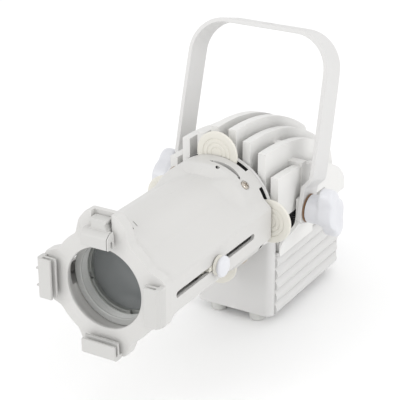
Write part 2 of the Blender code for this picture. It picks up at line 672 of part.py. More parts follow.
def yoke():
    pivot = empty("yoke_pivot", (0, PIVOT_Y, PIVOT_Z), OPTICS, -YOKE_TILT)
    bend_z = YOKE_HEIGHT - YOKE_BEND_RADIUS
    bend_x = YOKE_OUTER_TOP - YOKE_BEND_RADIUS
    outer = [(YOKE_OUTER_LOW, -YOKE_LOW_END), (YOKE_OUTER_LOW, 17 * mm), (YOKE_OUTER_HIGH, 24 * mm)]
    outer += arc((bend_x, bend_z), YOKE_BEND_RADIUS, 0, 90, 8)
    inner = [(YOKE_OUTER_LOW - YOKE_THICK, -YOKE_LOW_END), (YOKE_OUTER_LOW - YOKE_THICK, 18 * mm),
             (YOKE_OUTER_HIGH - YOKE_THICK, 25 * mm)]
    inner += arc((bend_x, bend_z), YOKE_BEND_RADIUS - YOKE_THICK, 0, 90, 8)
    half = outer + [(-x, z) for x, z in reversed(outer)]
    back = [(-x, z) for x, z in inner] + list(reversed(inner))
    bar = put("yoke", prism_mesh(half + back, -YOKE_WIDTH / 2, YOKE_WIDTH / 2), WHITE_PAINT, pivot)
    far = 80 * mm
    boolean(bar, helper("yoke_drill", rod_mesh(BOLT_RADIUS + GAP, (-far, 0, 0), 2 * far, "X", sides=20),
                        pivot))
    clamp = rod_mesh(CLAMP_HOLE_RADIUS, (0, 0, YOKE_HEIGHT - 20 * mm), 40 * mm, "Z", sides=24)
    boolean(bar, helper("clamp_drill", clamp, pivot))
    for side, sign in (("right", 1), ("left", -1)):
        pivot_stack(side, sign)


def pivot_stack(side, sign):
    """Bolt, fibre washer and two-winged knob, on the axis that the yoke tilts about."""
    axis = empty(f"pivot_axis_{side}", (0, PIVOT_Y, PIVOT_Z), OPTICS)
    bolt_start = CRADLE_INNER - 0.3 * mm
    washer_start = YOKE_OUTER_LOW + GAP
    knob_start = washer_start + WASHER_THICK + GAP
    bolt_end = knob_start + 16 * mm
    bolt = rod_mesh(BOLT_RADIUS, (0, 0, 0), bolt_end - bolt_start, "X", sides=20)
    bmesh.ops.translate(bolt, vec=(bolt_start, 0, 0), verts=bolt.verts)
    mirror(bolt, sign)
    put(f"pivot_bolt_{side}", bolt, STEEL, axis)
    ring = [(KNOB_HUB_RADIUS + 0.3 * mm, sign * (washer_start + WASHER_THICK)),
            (KNOB_HUB_RADIUS + 0.3 * mm, sign * washer_start), (BOLT_RADIUS + GAP,
                    sign * washer_start), (BOLT_RADIUS + GAP, sign * (washer_start + WASHER_THICK))]
    if sign < 0:
        ring = [ring[1], ring[0], ring[3], ring[2]]
    turned(f"friction_washer_{side}", ring, FIBRE, axis, axis="X", sides=24)
    stations = ((0, 0), (0.4, 0.05), (0.48, 0.7), (0.56, 1), (0.92, 1), (1, 0.88))
    wing_angle = math.radians(112 if sign > 0 else 58)
    sections = []
    for depth, share in stations:
        ring = []
        for i in range(40):
            angle = 2 * math.pi * i / 40
            wing = KNOB_WAIST + (KNOB_WING_REACH - KNOB_WAIST) * math.cos(angle - wing_angle) ** 4
            radius = (1 - share) * KNOB_HUB_RADIUS + share * wing
            ring.append((knob_start + depth * KNOB_LENGTH, radius * math.cos(angle),
                         radius * math.sin(angle)))
        sections.append(ring)
    body = loft_mesh(sections)
    mirror(body, sign)
    knob = put(f"tilt_knob_{side}", body, WHITE_PLASTIC, axis)
    bore = rod_mesh(BOLT_RADIUS + GAP, (knob_start - 2 * mm, 0, 0), 20 * mm, "X", sides=20)
    mirror(bore, sign)
    boolean(knob, helper(f"knob_bore_{side}", bore, axis))


def mirror(bm, sign):
    if sign < 0:
        bmesh.ops.scale(bm, vec=(-1, 1, 1), verts=bm.verts)


# ------------------------------------------------------------------ driver box
def ribbed_outline():
    """Section of the extruded box: five rounded ribs down each side."""
    pitch = (BOX_TOP - BOX_BOTTOM - 4 * mm) / RIB_COUNT
    side = [(BOX_HALF_WIDTH - 3 * mm, BOX_BOTTOM), (BOX_HALF_WIDTH, BOX_BOTTOM + 3 * mm)]
    for i in range(RIB_COUNT):
        z = BOX_BOTTOM + 4 * mm + pitch * i
        crest = BOX_HALF_WIDTH + RIB_DEPTH
        side += [(BOX_HALF_WIDTH, z), (crest, z + 0.3 * pitch), (crest, z + 0.45 * pitch),
                 (BOX_HALF_WIDTH, z + 0.75 * pitch)]
    side.append((BOX_HALF_WIDTH, BOX_TOP))
    return side + [(-x, z) for x, z in reversed(side)]


def driver_box():
    inner_x = BOX_HALF_WIDTH - BOX_WALL
    low = BOX_BOTTOM + BOX_WALL
    high = BOX_TOP - BOX_WALL
    shell = put("driver_box_shell", prism_mesh(ribbed_outline(), BOX_FRONT, BOX_REAR), WHITE_PAINT)
    room = block_mesh((-inner_x, BOX_FRONT - 5 * mm, low), (inner_x, BOX_REAR + 5 * mm, high))
    boolean(shell, helper("box_room", room))

    wide = BOX_HALF_WIDTH + 1.5 * mm
    back = BOX_FRONT - GAP
    front = back - COVER_THICK
    round_corner = 6.5 * mm
    plan = [(wide, back)] + arc((wide - round_corner, front + round_corner), round_corner, 0, -90, 5)
    plan += [(-x, y) for x, y in reversed(plan)]
    cover = put("driver_box_front_cover", prism_mesh(plan, BOX_BOTTOM, COVER_TOP, "Z"), WHITE_PAINT)
    hollow = block_mesh((-inner_x, front + 3 * mm, low), (inner_x, back + 5 * mm, high))
    boolean(cover, helper("cover_room", hollow))

    panel = put("driver_box_rear_panel", block_mesh((-wide, PANEL_Y, BOX_BOTTOM),
                                                    (wide, PANEL_BACK, BOX_TOP)), WHITE_PAINT)
    for cutter in rear_fittings():
        boolean(panel, cutter)

    foot_y = (BOX_FRONT + 2 * mm, BOX_REAR - 6 * mm)
    for row, y in zip(("front", "rear"), foot_y):
        for side, sign in (("right", 1), ("left", -1)):
            foot = rod_mesh(FOOT_RADIUS * 0.7, (0, 0, -FOOT_HEIGHT), FOOT_HEIGHT, "Z", FOOT_RADIUS, 20)
            put(f"foot_{row}_{side}", foot, GREY_PLASTIC, OPTICS, (sign * FOOT_X, y, BOX_BOTTOM - GAP))
    driver_electronics(low)


FOOT_X = 19 * mm
INLET = (-17 * mm, -79 * mm)  # place of the power inlet on the rear panel, as X and Z
SOCKET_Z = -84 * mm
SOCKET_XS = {"data_in_socket": 7.8 * mm, "data_out_socket": 24.2 * mm}
BUTTON_Z = -59 * mm
BUTTON_XS = (3 * mm, 11 * mm, 19 * mm, 27 * mm)


def rear_fittings():
    """The sockets, display and buttons, and the holes that they take in the panel."""
    x, z = INLET
    holes = []
    half = (13.5 * mm, 10 * mm)
    body = block_mesh((x - half[0], PANEL_Y - 18 * mm, z - half[1]),
                      (x + half[0], PANEL_BACK + GAP + 1 * mm, z + half[1]))
    inlet = put("power_inlet", body, BLACK_PLASTIC)
    rim = block_mesh((x - 16 * mm, PANEL_BACK + GAP, z - 11.5 * mm),
                     (x + 16 * mm, PANEL_BACK + 2.4 * mm, z + 11.5 * mm))
    boolean(inlet, helper("inlet_rim", rim), "UNION")
    recess = block_mesh((x - 11.5 * mm, PANEL_BACK - 13 * mm, z - 7.5 * mm),
                        (x + 11.5 * mm, PANEL_BACK + 10 * mm, z + 7.5 * mm))
    boolean(inlet, helper("inlet_recess", recess))
    through = PANEL_Y - 5 * mm, PANEL_BACK + 5 * mm
    hole = block_mesh((x - half[0] - GAP, through[0], z - half[1] - GAP),
                      (x + half[0] + GAP, through[1], z + half[1] + GAP))
    holes.append(helper("inlet_hole", hole))

    drawer_z = BOX_BOTTOM + 7 * mm
    drawer = block_mesh((x - 11 * mm, PANEL_Y - 12 * mm, drawer_z - 2.8 * mm),
                        (x + 11 * mm, PANEL_BACK + 1.6 * mm, drawer_z + 2.8 * mm))
    put("fuse_drawer", drawer, BLACK_PLASTIC)
    hole = block_mesh((x - 11 * mm - GAP, through[0], drawer_z - 2.8 * mm - GAP),
                      (x + 11 * mm + GAP, through[1], drawer_z + 2.8 * mm + GAP))
    holes.append(helper("fuse_hole", hole))

    for name, sx in SOCKET_XS.items():
        outside = PANEL_BACK + GAP
        profile = [(8 * mm, outside + 2 * mm), (8 * mm, outside), (7.2 * mm, outside),
                   (7.2 * mm, PANEL_Y - 14 * mm), (0, PANEL_Y - 14 * mm)]
        profile = [(0, PANEL_Y - 10 * mm), (5.8 * mm, PANEL_Y - 10 * mm),
                   (5.8 * mm, outside + 2 * mm)] + profile
        turned(name, profile, BLACK_PLASTIC, location=(sx, 0, SOCKET_Z), sides=28, on_axis=True)
        drill = rod_mesh(7.2 * mm + GAP, (sx, through[0], SOCKET_Z), through[1] - through[0], sides=28)
        holes.append(helper(f"{name}_hole", drill))

    window = block_mesh((x - 13 * mm, PANEL_Y - 1 * mm, BUTTON_Z - 4.5 * mm),
                        (x + 13 * mm, PANEL_BACK - 0.4 * mm, BUTTON_Z + 4.5 * mm))
    put("display_window", window, BLACK_PLASTIC)
    hole = block_mesh((x - 13 * mm - GAP, through[0], BUTTON_Z - 4.5 * mm - GAP),
                      (x + 13 * mm + GAP, through[1], BUTTON_Z + 4.5 * mm + GAP))
    holes.append(helper("display_hole", hole))
    for i, bx in enumerate(BUTTON_XS):
        press = empty(f"button_{i + 1}_travel", (bx, PANEL_BACK, BUTTON_Z), OPTICS)
        button = rod_mesh(2.6 * mm, (0, -7.9 * mm, 0), 10.1 * mm, sides=16)
        put(f"menu_button_{i + 1}", button, GREY_PLASTIC, press)
        holes.append(helper(f"button_hole_{i + 1}",
                            rod_mesh(2.6 * mm + GAP, (bx, through[0], BUTTON_Z), through[1] - through[0],
                                     sides=16)))
    return holes


def driver_electronics(floor):
    """The driver board on its standoffs, and the control board behind the buttons."""
    deck = floor + 5 * mm
    top = deck + 1.6 * mm
    board = put("driver_board", block_mesh((-27 * mm, 212 * mm, deck), (27 * mm, 296 * mm, top)), BOARD)
    for i, (x, y) in enumerate(((-22, 218), (22, 218), (-22, 290), (22, 290))):
        leg = rod_mesh(2.5 * mm, (x * mm, y * mm, floor + GAP), deck - floor + 0.5 * mm, "Z", sides=10)
        boolean(board, helper(f"standoff_{i + 1}", leg), "UNION")
    parts = (((-20, 225, -2), (14, 250, 26)), ((-22, 262, -2), (-4, 284, 22)),
             ((4, 262, -2), (20, 276, 18)))
    for i, (low, high) in enumerate(parts):
        lump = block_mesh((low[0] * mm, low[1] * mm, top - 0.5 * mm),
                          (high[0] * mm, high[1] * mm, top + high[2] * mm))
        boolean(board, helper(f"board_component_{i + 1}", lump), "UNION")
    back = PANEL_Y - 6.5 * mm
    control = block_mesh((-32 * mm, back - 1.6 * mm, BUTTON_Z - 6 * mm),
                         (32 * mm, back, BUTTON_Z + 6.6 * mm))
    put("control_board", control, BOARD)


# ------------------------------------------------------------------ assembly
barrel_shells()
frame_clip("frame_clip_right", 0)
frame_clip("frame_clip_left", 180)
frame_clip("frame_clip_bottom", 270)
frame_latch()
lens_groups()
gate()
collar_screws()
shutter("top", 90, -1.5)
shutter("right", 0, -0.5)
shutter("bottom", 270, 0.5)
shutter("left", 180, 1.5)
heatsink()
light_source()
cradle()
yoke()
driver_box()
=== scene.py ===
# %% [markdown]
# # A small profile spotlight, in Blender
# The frame gives the pieces' places and what they move with. Every visible piece is then made
# again here with the roundings, threads, rings and paint that a bare solid does not have.

# %% Load the frame
import math

import bmesh
import bpy
from mathutils import Matrix, Vector


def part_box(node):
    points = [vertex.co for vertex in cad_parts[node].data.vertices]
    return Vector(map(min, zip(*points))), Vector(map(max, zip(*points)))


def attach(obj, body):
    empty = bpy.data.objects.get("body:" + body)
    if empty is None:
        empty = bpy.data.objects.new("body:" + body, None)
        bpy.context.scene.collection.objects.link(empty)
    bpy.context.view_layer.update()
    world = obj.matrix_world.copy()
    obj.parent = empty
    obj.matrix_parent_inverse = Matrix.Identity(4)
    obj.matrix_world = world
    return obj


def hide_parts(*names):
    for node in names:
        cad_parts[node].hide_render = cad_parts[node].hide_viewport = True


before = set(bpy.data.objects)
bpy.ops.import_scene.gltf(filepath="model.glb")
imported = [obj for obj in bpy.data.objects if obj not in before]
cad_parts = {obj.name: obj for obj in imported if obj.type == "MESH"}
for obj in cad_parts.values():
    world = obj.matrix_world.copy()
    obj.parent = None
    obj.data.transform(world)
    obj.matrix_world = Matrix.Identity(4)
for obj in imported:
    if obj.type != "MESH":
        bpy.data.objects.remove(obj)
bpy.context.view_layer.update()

# %% [markdown]
# ## One set of axes for the optics
# Everything on the lamp is arranged around the lens axis, so sizes are easiest to give in
# millimetres from the point where that axis meets the front of the barrel. `at` turns such a
# place into the frame's metres. X is the focus slider's side, Y runs back, Z is up.

# %% The optical frame
mm = 0.001
FRONT_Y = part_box("barrel_shell_left")[0][1]
AXIS_Z = sum(corner[2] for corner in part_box("shutter_handle_right")) / 2
ORIGIN = Vector((0, FRONT_Y, AXIS_Z))


def at(x, y, z):
    return ORIGIN + Vector((x, y, z)) * mm


print("lens axis is", round(AXIS_Z / mm, 1), "mm above the table")

# %% [markdown]
# ## Shader maths as expressions
# A procedural finish is arithmetic on noise. Written as nodes it is hard to read, so `Value`
# wraps a socket and lets `1 - mask` or `0.4 + 0.1 * noise` add the Math nodes by itself. Any
# other node comes from `add`. The same class serves the Geometry Nodes trees further down.


# %% Sockets that can be added and multiplied
class Value:
    def __init__(self, graph, socket):
        self.graph = graph
        self.socket = socket

    def math(self, operation, *others):
        return self.graph.math(operation, self, *others)

    def __add__(self, other):
        return self.math("ADD", other)

    def __sub__(self, other):
        return self.math("SUBTRACT", other)

    def __mul__(self, other):
        return self.math("MULTIPLY", other)

    def __truediv__(self, other):
        return self.math("DIVIDE", other)

    def __radd__(self, other):
        return self.graph.math("ADD", other, self)

    def __rsub__(self, other):
        return self.graph.math("SUBTRACT", other, self)

    def __rmul__(self, other):
        return self.graph.math("MULTIPLY", other, self)


class Graph:
    """A node tree, shader or geometry, that is grown by calls."""

    def __init__(self, tree):
        self.tree = tree

    def feed(self, socket, value):
        if isinstance(value, Value):
            self.tree.links.new(value.socket, socket)
        else:
            socket.default_value = value

    def add(self, kind, settings=None, inputs=None, out=0):
        node = self.tree.nodes.new(kind)
        for key, setting in (settings or {}).items():
            setattr(node, key, setting)
        for key, value in (inputs or {}).items():
            self.feed(node.inputs[key], value)
        return Value(self, node.outputs[out])

    def math(self, operation, *values):
        return self.add("ShaderNodeMath", {"operation": operation}, dict(enumerate(values)))

    def ramp(self, value, low, high, to_low=0.0, to_high=1.0):
        settings = {"interpolation_type": "SMOOTHSTEP"}
        inputs = {"Value": value, "From Min": low, "From Max": high, "To Min": to_low, "To Max": to_high}
        return self.add("ShaderNodeMapRange", settings, inputs)


# %% [markdown]
# ## Finishes
# The lamp is nearly all one colour, so its materials differ mostly in texture and gloss; the white
# on the fins and cradle is painted lighter than the barrel's, to offset the shade between the fins.
# Powder coat has a fine orange-peel surface; moulded plastic is smoother and a little mottled;
# turned and rolled steel carry fine lines. `finish` is the shared recipe: a base colour with slow
# variation, a roughness that wanders a little, and a fine bump.


# %% The shared recipe for a finish
def finish(name, colour, roughness, metallic=0.0, grain=1100, bump=0.12, mottle=0.03, lines=None,
           coat=0.0, stain=None):
    """Grain is in cells per metre. Lines is the axis that brushed streaks run along."""
    material = bpy.data.materials.new(name)
    material.use_nodes = True
    graph = Graph(material.node_tree)
    shader = material.node_tree.nodes["Principled BSDF"]
    place = graph.add("ShaderNodeTexCoord", out=3)
    slow = graph.add("ShaderNodeTexNoise", None, {"Vector": place, "Scale": 16.0, "Detail": 3.0})
    patches = graph.add("ShaderNodeTexNoise", None, {"Vector": place, "Scale": 85.0, "Detail": 4.0})
    stretch = {"X": (0.04, 1, 1), "Y": (1, 0.04, 1), "Z": (1, 1, 0.04)}.get(lines, (1, 1, 1))
    streaked = graph.add("ShaderNodeMapping", None, {"Vector": place, "Scale": stretch})
    fine = graph.add("ShaderNodeTexNoise", None, {"Vector": streaked, "Scale": float(grain), "Detail": 2.0})
    shade = 1.0 + mottle * (slow - 0.5) + 0.5 * mottle * (patches - 0.5)
    darker = [channel * 0.80 for channel in colour]
    mix = graph.math("MULTIPLY", (1.0 - shade) + 0.08 * (fine - 0.5) * (mottle * 8), 1.0)
    if stain:
        darker = stain
        mix = mix + graph.ramp(patches, 0.52, 0.75, 0.0, 0.7)
    tint = graph.add(
        "ShaderNodeMix",
        {"data_type": "RGBA", "clamp_factor": True},
        {0: graph.math("MAXIMUM", mix + mottle, 0.0), 6: (*colour, 1), 7: (*darker, 1)},
        out=2,
    )
    graph.feed(shader.inputs["Base Color"], tint)
    rough = roughness + 0.10 * (slow - 0.5) + 0.08 * (fine - 0.5)
    graph.feed(shader.inputs["Roughness"], graph.math("MAXIMUM", rough, 0.03))
    shader.inputs["Metallic"].default_value = metallic
    shader.inputs["Coat Weight"].default_value = coat
    shader.inputs["Coat Roughness"].default_value = 0.25
    height = fine + 0.35 * patches
    relief = graph.add("ShaderNodeBump", None, {"Height": height, "Strength": bump, "Distance": 0.00012})
    graph.feed(shader.inputs["Normal"], relief)
    return material


WHITE_PAINT = finish("white_powder_coat", (0.62, 0.613, 0.598), 0.42, grain=1500, bump=0.16)
# The barrel's white, painted lighter to offset the shade that falls between the fins.
LIGHTENED_CAST_PAINT = finish("white_paint_lightened_against_fin_shade", (0.765, 0.76, 0.745), 0.46, grain=900, bump=0.22, mottle=0.04)
# The barrel's white, painted darker on the clips and latch as painted shade.
DARKENED_CLIP_PAINT = finish("white_paint_darkened_as_shade", (0.57, 0.565, 0.55), 0.44, grain=1000, bump=0.2, mottle=0.04)
SHEET_PAINT = finish("white_paint_on_sheet", (0.655, 0.65, 0.642), 0.38, grain=1700, bump=0.12)
CREAM_PLASTIC = finish("cream_moulded_plastic", (0.73, 0.71, 0.645), 0.42, grain=600, bump=0.05)
COOL_PLASTIC = finish("cool_white_plastic", (0.70, 0.705, 0.735), 0.33, grain=500, bump=0.04, coat=0.15)
GREY_LINING = finish("grey_anodised_lining", (0.34, 0.35, 0.335), 0.5, 0.35, grain=1400, bump=0.1,
                     lines="Z")
BLACK_PLASTIC = finish("black_moulded_plastic", (0.022, 0.022, 0.024), 0.45, grain=1300, bump=0.2)
GREY_RUBBER = finish("pale_grey_rubber", (0.60, 0.60, 0.58), 0.7, grain=1500, bump=0.3)
NICKEL = finish("nickel_plate", (0.60, 0.55, 0.49), 0.28, 1.0, grain=900, bump=0.05,
                stain=(0.28, 0.20, 0.13))
BLUED_STEEL = finish("heat_tinted_steel", (0.16, 0.15, 0.16), 0.38, 1.0, grain=700, bump=0.08, lines="X",
                     stain=(0.16, 0.10, 0.07))
MIRROR_METAL = finish("spun_reflector_metal", (0.85, 0.85, 0.85), 0.15, 1.0, grain=900, bump=0.05,
                      lines="Y")
BROWN_FIBRE = finish("pressed_friction_fibre", (0.27, 0.155, 0.085), 0.72, grain=2200, bump=0.4,
                     mottle=0.25)
GREEN_BOARD = finish("solder_mask", (0.02, 0.14, 0.06), 0.35, grain=400, bump=0.2, stain=(0.04, 0.20, 0.09))
PALE_LINING = finish("pale_grey_lining", (0.62, 0.625, 0.61), 0.4, 0.1, grain=1200, bump=0.1, lines="Z")
BLACKENED_STEEL = finish("blackened_steel", (0.03, 0.03, 0.032), 0.55, 0.6, grain=900, bump=0.15, lines="X")
BLACK_LINING = finish("matt_black_lining", (0.018, 0.018, 0.019), 0.8, grain=1500, bump=0.25)
SCREEN = finish("smoked_display_pane", (0.015, 0.017, 0.02), 0.12, grain=300, bump=0.02, coat=0.4)
KEY_GREY = finish("grey_key_plastic", (0.30, 0.31, 0.31), 0.45, grain=1100, bump=0.12)
PHOSPHOR = finish("led_phosphor", (0.86, 0.66, 0.12), 0.6, grain=1800, bump=0.3)
print(len(bpy.data.materials), "materials")

# %% [markdown]
# Clear glass is mostly what is seen through it, with a faint grey-green body and a thin
# antireflection bloom. A transparent and a glossy shader mixed by a Fresnel term stay readable
# in the small front opening, where true refraction would only show noise.


# %% Lens glass
def lens_glass():
    material = bpy.data.materials.new("bloomed_lens_glass")
    material.use_nodes = True
    graph = Graph(material.node_tree)
    shader = material.node_tree.nodes["Principled BSDF"]
    place = graph.add("ShaderNodeTexCoord", out=3)
    smears = graph.add("ShaderNodeTexNoise", None, {"Vector": place, "Scale": 45.0, "Detail": 3.0})
    shader.inputs["Base Color"].default_value = (0.36, 0.38, 0.385, 1)
    shader.inputs["IOR"].default_value = 1.5
    graph.feed(shader.inputs["Roughness"], 0.04 + 0.05 * smears)
    edge = graph.add("ShaderNodeLayerWeight", None, {"Blend": 0.35}, out=1)
    graph.feed(shader.inputs["Alpha"], 0.30 + 0.35 * edge + 0.05 * smears)
    return material


GLASS = lens_glass()

# %% [markdown]
# ## Making a piece
# Every piece ends the same way: outward normals, smooth shading that breaks at real edges, a
# material, the body it moves with, and the hiding of the CAD part that it stands for. `piece` does
# all of that.


# %% Helpers that end a piece
def piece(name, bm, material, body, stands_for=(), bevel=0.0, segments=2, angle=35):
    if isinstance(bm, bmesh.types.BMesh):
        bmesh.ops.recalc_face_normals(bm, faces=bm.faces)
        mesh = bpy.data.meshes.new(name)
        bm.to_mesh(mesh)
        bm.free()
    else:
        mesh = bm
    mesh.name = name
    made = bpy.data.objects.new(name, mesh)
    bpy.context.scene.collection.objects.link(made)
    mesh.materials.clear()
    mesh.materials.append(material)
    mesh.shade_smooth()
    mesh.set_sharp_from_angle(angle=math.radians(angle))
    if bevel:
        modifier = made.modifiers.new("edges", "BEVEL")
        modifier.width = bevel * mm
        modifier.segments = segments
        modifier.limit_method = "ANGLE"
        modifier.angle_limit = math.radians(32)
        modifier.harden_normals = True
    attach(made, body)
    if stands_for:
        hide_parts(*([stands_for] if isinstance(stands_for, str) else stands_for))
    return made


def loose(bm, name="cutter"):
    """A plain object for a Boolean, which isn't part of the lamp."""
    bmesh.ops.recalc_face_normals(bm, faces=bm.faces)
    mesh = bpy.data.meshes.new(name)
    bm.to_mesh(mesh)
    bm.free()
    made = bpy.data.objects.new(name, mesh)
    bpy.context.scene.collection.objects.link(made)
    return made


def carve(bm, cutters=(), added=()):
    """The mesh with the cutters taken out and the added solids joined, as a new bmesh."""
    base = loose(bm, "base")
    helpers = []
    for operation, solids in (("UNION", added), ("DIFFERENCE", cutters)):
        for solid in solids:
            other = loose(solid)
            helpers.append(other)
            modifier = base.modifiers.new(operation, "BOOLEAN")
            modifier.operation = operation
            modifier.solver = "EXACT"
            modifier.object = other
    evaluated = base.evaluated_get(bpy.context.evaluated_depsgraph_get())
    result = bmesh.new()
    mesh = bpy.data.meshes.new_from_object(evaluated)
    result.from_mesh(mesh)
    bpy.data.meshes.remove(mesh)
    for used in [base] + helpers:
        bpy.data.objects.remove(used)
    return result


# %% [markdown]
# ## Four ways to make a closed solid
# A block, a flat outline swept along an axis, a profile turned about an axis, and a row of rings
# joined in order. Together with a Boolean and a bevel they make nearly every part of a lamp.


# %% Solids
def block(low, high):
    bm = bmesh.new()
    bmesh.ops.create_cube(bm, size=1)
    low = at(*low)
    high = at(*high)
    bmesh.ops.scale(bm, vec=high - low, verts=bm.verts)
    bmesh.ops.translate(bm, vec=(low + high) / 2, verts=bm.verts)
    return bm


def sweep(outline, low, high, axis="Y"):
    """The outline's two numbers are the other two axes, in order, in millimetres."""
    places = {
        "X": lambda a, b, c: at(c, a, b),
        "Y": lambda a, b, c: at(a, c, b),
        "Z": lambda a, b, c: at(a, b, c),
    }
    return rings([[places[axis](a, b, c) for a, b in outline] for c in (low, high)])


def rings(sections, closed=True):
    bm = bmesh.new()
    loops = [[bm.verts.new(point) for point in section] for section in sections]
    count = len(loops[0])
    for one, two in zip(loops, loops[1:]):
        for i in range(count):
            j = (i + 1) % count
            bm.faces.new((one[i], one[j], two[j], two[i]))
    if closed:
        bm.faces.new(loops[0])
        bm.faces.new(loops[-1])
    else:
        for i in range(count):
            j = (i + 1) % count
            bm.faces.new((loops[-1][i], loops[-1][j], loops[0][j], loops[0][i]))
    return bm


def turn(profile, axis="Y", centre=(0, 0, 0), steps=96, sign=1):
    """A profile of (radius, place along the axis) turned round a line through centre."""
    bm = bmesh.new()
    cx, cy, cz = centre
    loops = []
    for radius, place in profile:
        if radius < 1e-6:
            angles = [0]
        else:
            angles = [2 * math.pi * i / steps for i in range(steps)]
        loop = []
        for t in angles:
            a = radius * math.cos(t)
            b = radius * math.sin(t)
            spots = {
                "X": (cx + sign * place, cy + a, cz + b),
                "Y": (cx + a, cy + sign * place, cz + b),
                "Z": (cx + a, cy + b, cz + sign * place),
            }
            loop.append(bm.verts.new(at(*spots[axis])))
        loops.append(loop)
    pairs = list(zip(loops, loops[1:]))
    if len(loops[0]) > 1 or len(loops[-1]) > 1:
        pairs.append((loops[-1], loops[0]))
    for one, two in pairs:
        if len(one) == 1 and len(two) == 1:
            continue
        for i in range(steps):
            j = (i + 1) % steps
            corners = [one[i % len(one)], one[j % len(one)], two[j % len(two)], two[i % len(two)]]
            unique = list(dict.fromkeys(corners))
            if len(unique) > 2:
                bm.faces.new(unique)
    return bm


def spin_y(bm, degrees):
    """Turns a solid about the lens axis: 90 takes +X to +Z."""
    bmesh.ops.rotate(bm, cent=ORIGIN, matrix=Matrix.Rotation(math.radians(-degrees), 3, "Y"),
                     verts=bm.verts)
    return bm


def arc(cx, cy, radius, first, last, steps):
    turns = [math.radians(first + (last - first) * i / steps) for i in range(steps + 1)]
    return [(cx + radius * math.cos(t), cy + radius * math.sin(t)) for t in turns]


def rounded(outline, radius, steps=5):
    """The closed outline with each corner replaced by an arc of about this radius."""
    made = []
    count = len(outline)
    for i, corner in enumerate(outline):
        corner = Vector(corner)
        before = Vector(outline[i - 1]) - corner
        after = Vector(outline[(i + 1) % count]) - corner
        reach = min(radius, before.length * 0.45, after.length * 0.45)
        start = corner + before.normalized() * reach
        end = corner + after.normalized() * reach
        for k in range(steps + 1):
            t = k / steps
            point = start * (1 - t) ** 2 + corner * 2 * t * (1 - t) + end * t ** 2
            made.append((point.x, point.y))
    return made

# %% [markdown]
# ## The barrel
# Two die-cast half shells meet on the vertical plane. The shape has a rule: at each place along
# the axis the section is a closed outline, and the outlines flow from a four-lobed flange to a
# round tube with a flat rail each side, and then to a wider collar. So each shell is lofted: the
# distance from the axis is looked up in the outlines for a fan of directions, and blended along Y.

# %% Outlines of the barrel's sections
TUBE = 40.0
BORE = 37.2
RAIL_X = 51.0
RAIL_Z = 13.6
COLLAR = 47.5
COLLAR_BORE = 44.3
COLLAR_END = 168.9
GATE_Y = 165.0
BULGE_TOP = 136.0
SEAM_GAP = 0.005


def tube_outline(radius, shoulder, soften=1.6):
    half = [(RAIL_X, -RAIL_Z), (RAIL_X, RAIL_Z)] + arc(0, 0, radius, shoulder, 90, 18)
    whole = half + [(-x, z) for x, z in reversed(half[:-1])]
    lower = arc(0, 0, radius, 180 + shoulder, 360 - shoulder, 36)
    whole = [point for point in whole if point != (-RAIL_X, -RAIL_Z)] + [(-RAIL_X, -RAIL_Z)] + lower
    corners = []
    for i, point in enumerate(whole):
        if abs(abs(point[0]) - RAIL_X) < 0.01:
            before = Vector(whole[i - 1])
            after = Vector(whole[(i + 1) % len(whole)])
            here = Vector(point)
            start = here + (before - here).normalized() * soften
            end = here + (after - here).normalized() * soften
            corners += [tuple(start * (1 - t) ** 2 + here * 2 * t * (1 - t) + end * t * t) for t in (0,
                    0.25, 0.5, 0.75, 1)]
        else:
            corners.append(point)
    return corners


def flange_outline(shrink=0.0):
    """Four lobes, each with a flat end, joined by a smaller round. The top one is the tallest."""
    points = []
    for quarter, reach in enumerate((52.5, 60.0, 52.5, 52.5)):
        lobe = [(reach - 2.6, -19.2), (reach, -15.5), (reach, 15.5), (reach - 2.6, 19.2)]
        if quarter == 1:
            lobe = [(51.0, -20.5), (reach - 2.2, -15.0), (reach, -11.8), (reach, 11.8),
                    (reach - 2.2, 15.0), (51.0, 20.5)]
        lobe += arc(0, 0, 45.3, 31.5, 58.5, 4)
        turn_by = Matrix.Rotation(math.radians(90 * quarter), 2)
        points += [tuple(turn_by @ Vector(point)) for point in lobe]
    soft = rounded(points, 2.4, 4)
    return [tuple(Vector(point) * (1 - shrink / Vector(point).length)) for point in soft]


def reach_of(outline):
    """A function from a direction to the outline's distance from the axis."""
    polar = sorted((math.atan2(z, x) % (2 * math.pi), math.hypot(x, z)) for x, z in outline)
    polar = [(polar[-1][0] - 2 * math.pi, polar[-1][1])] + polar + [(polar[0][0] + 2 * math.pi,
            polar[0][1])]

    def look_up(angle):
        angle %= 2 * math.pi
        for (a, r1), (b, r2) in zip(polar, polar[1:]):
            if a <= angle <= b:
                p = Vector((r1 * math.cos(a), r1 * math.sin(a)))
                q = Vector((r2 * math.cos(b), r2 * math.sin(b)))
                d = Vector((math.cos(angle), math.sin(angle)))
                edge = q - p
                cross = d.cross(edge)
                return p.length if abs(cross) < 1e-9 else p.cross(edge) / cross
        return polar[0][1]

    return look_up


FLANGE_AT = reach_of(flange_outline())
TUBE_AT = reach_of(tube_outline(TUBE, 45))
COLLAR_AT = reach_of(tube_outline(COLLAR, 26))


def ease(t):
    t = min(max(t, 0.0), 1.0)
    return t * t * (3 - 2 * t)


def collar_swell(angle, y):
    """How far the section has grown from the tube to the collar, from 0 to 1.

    Over the top and under the bottom the collar starts late, with a crease, and rises steeply.
    At the sides it grows slowly, so the rail runs out into it.
    """
    off_top = abs(math.degrees(math.asin(min(1.0, abs(math.cos(angle))))))
    steep = 1 - ease((off_top - 12) / 24)
    crease = BULGE_TOP + 9.5 * (off_top / 38) ** 2
    sharp = math.sin(min(max((y - crease) / 8.5, 0.0), 1.0) * math.pi / 2)
    soft = ease((y - 127) / 14)
    return steep * sharp + (1 - steep) * soft


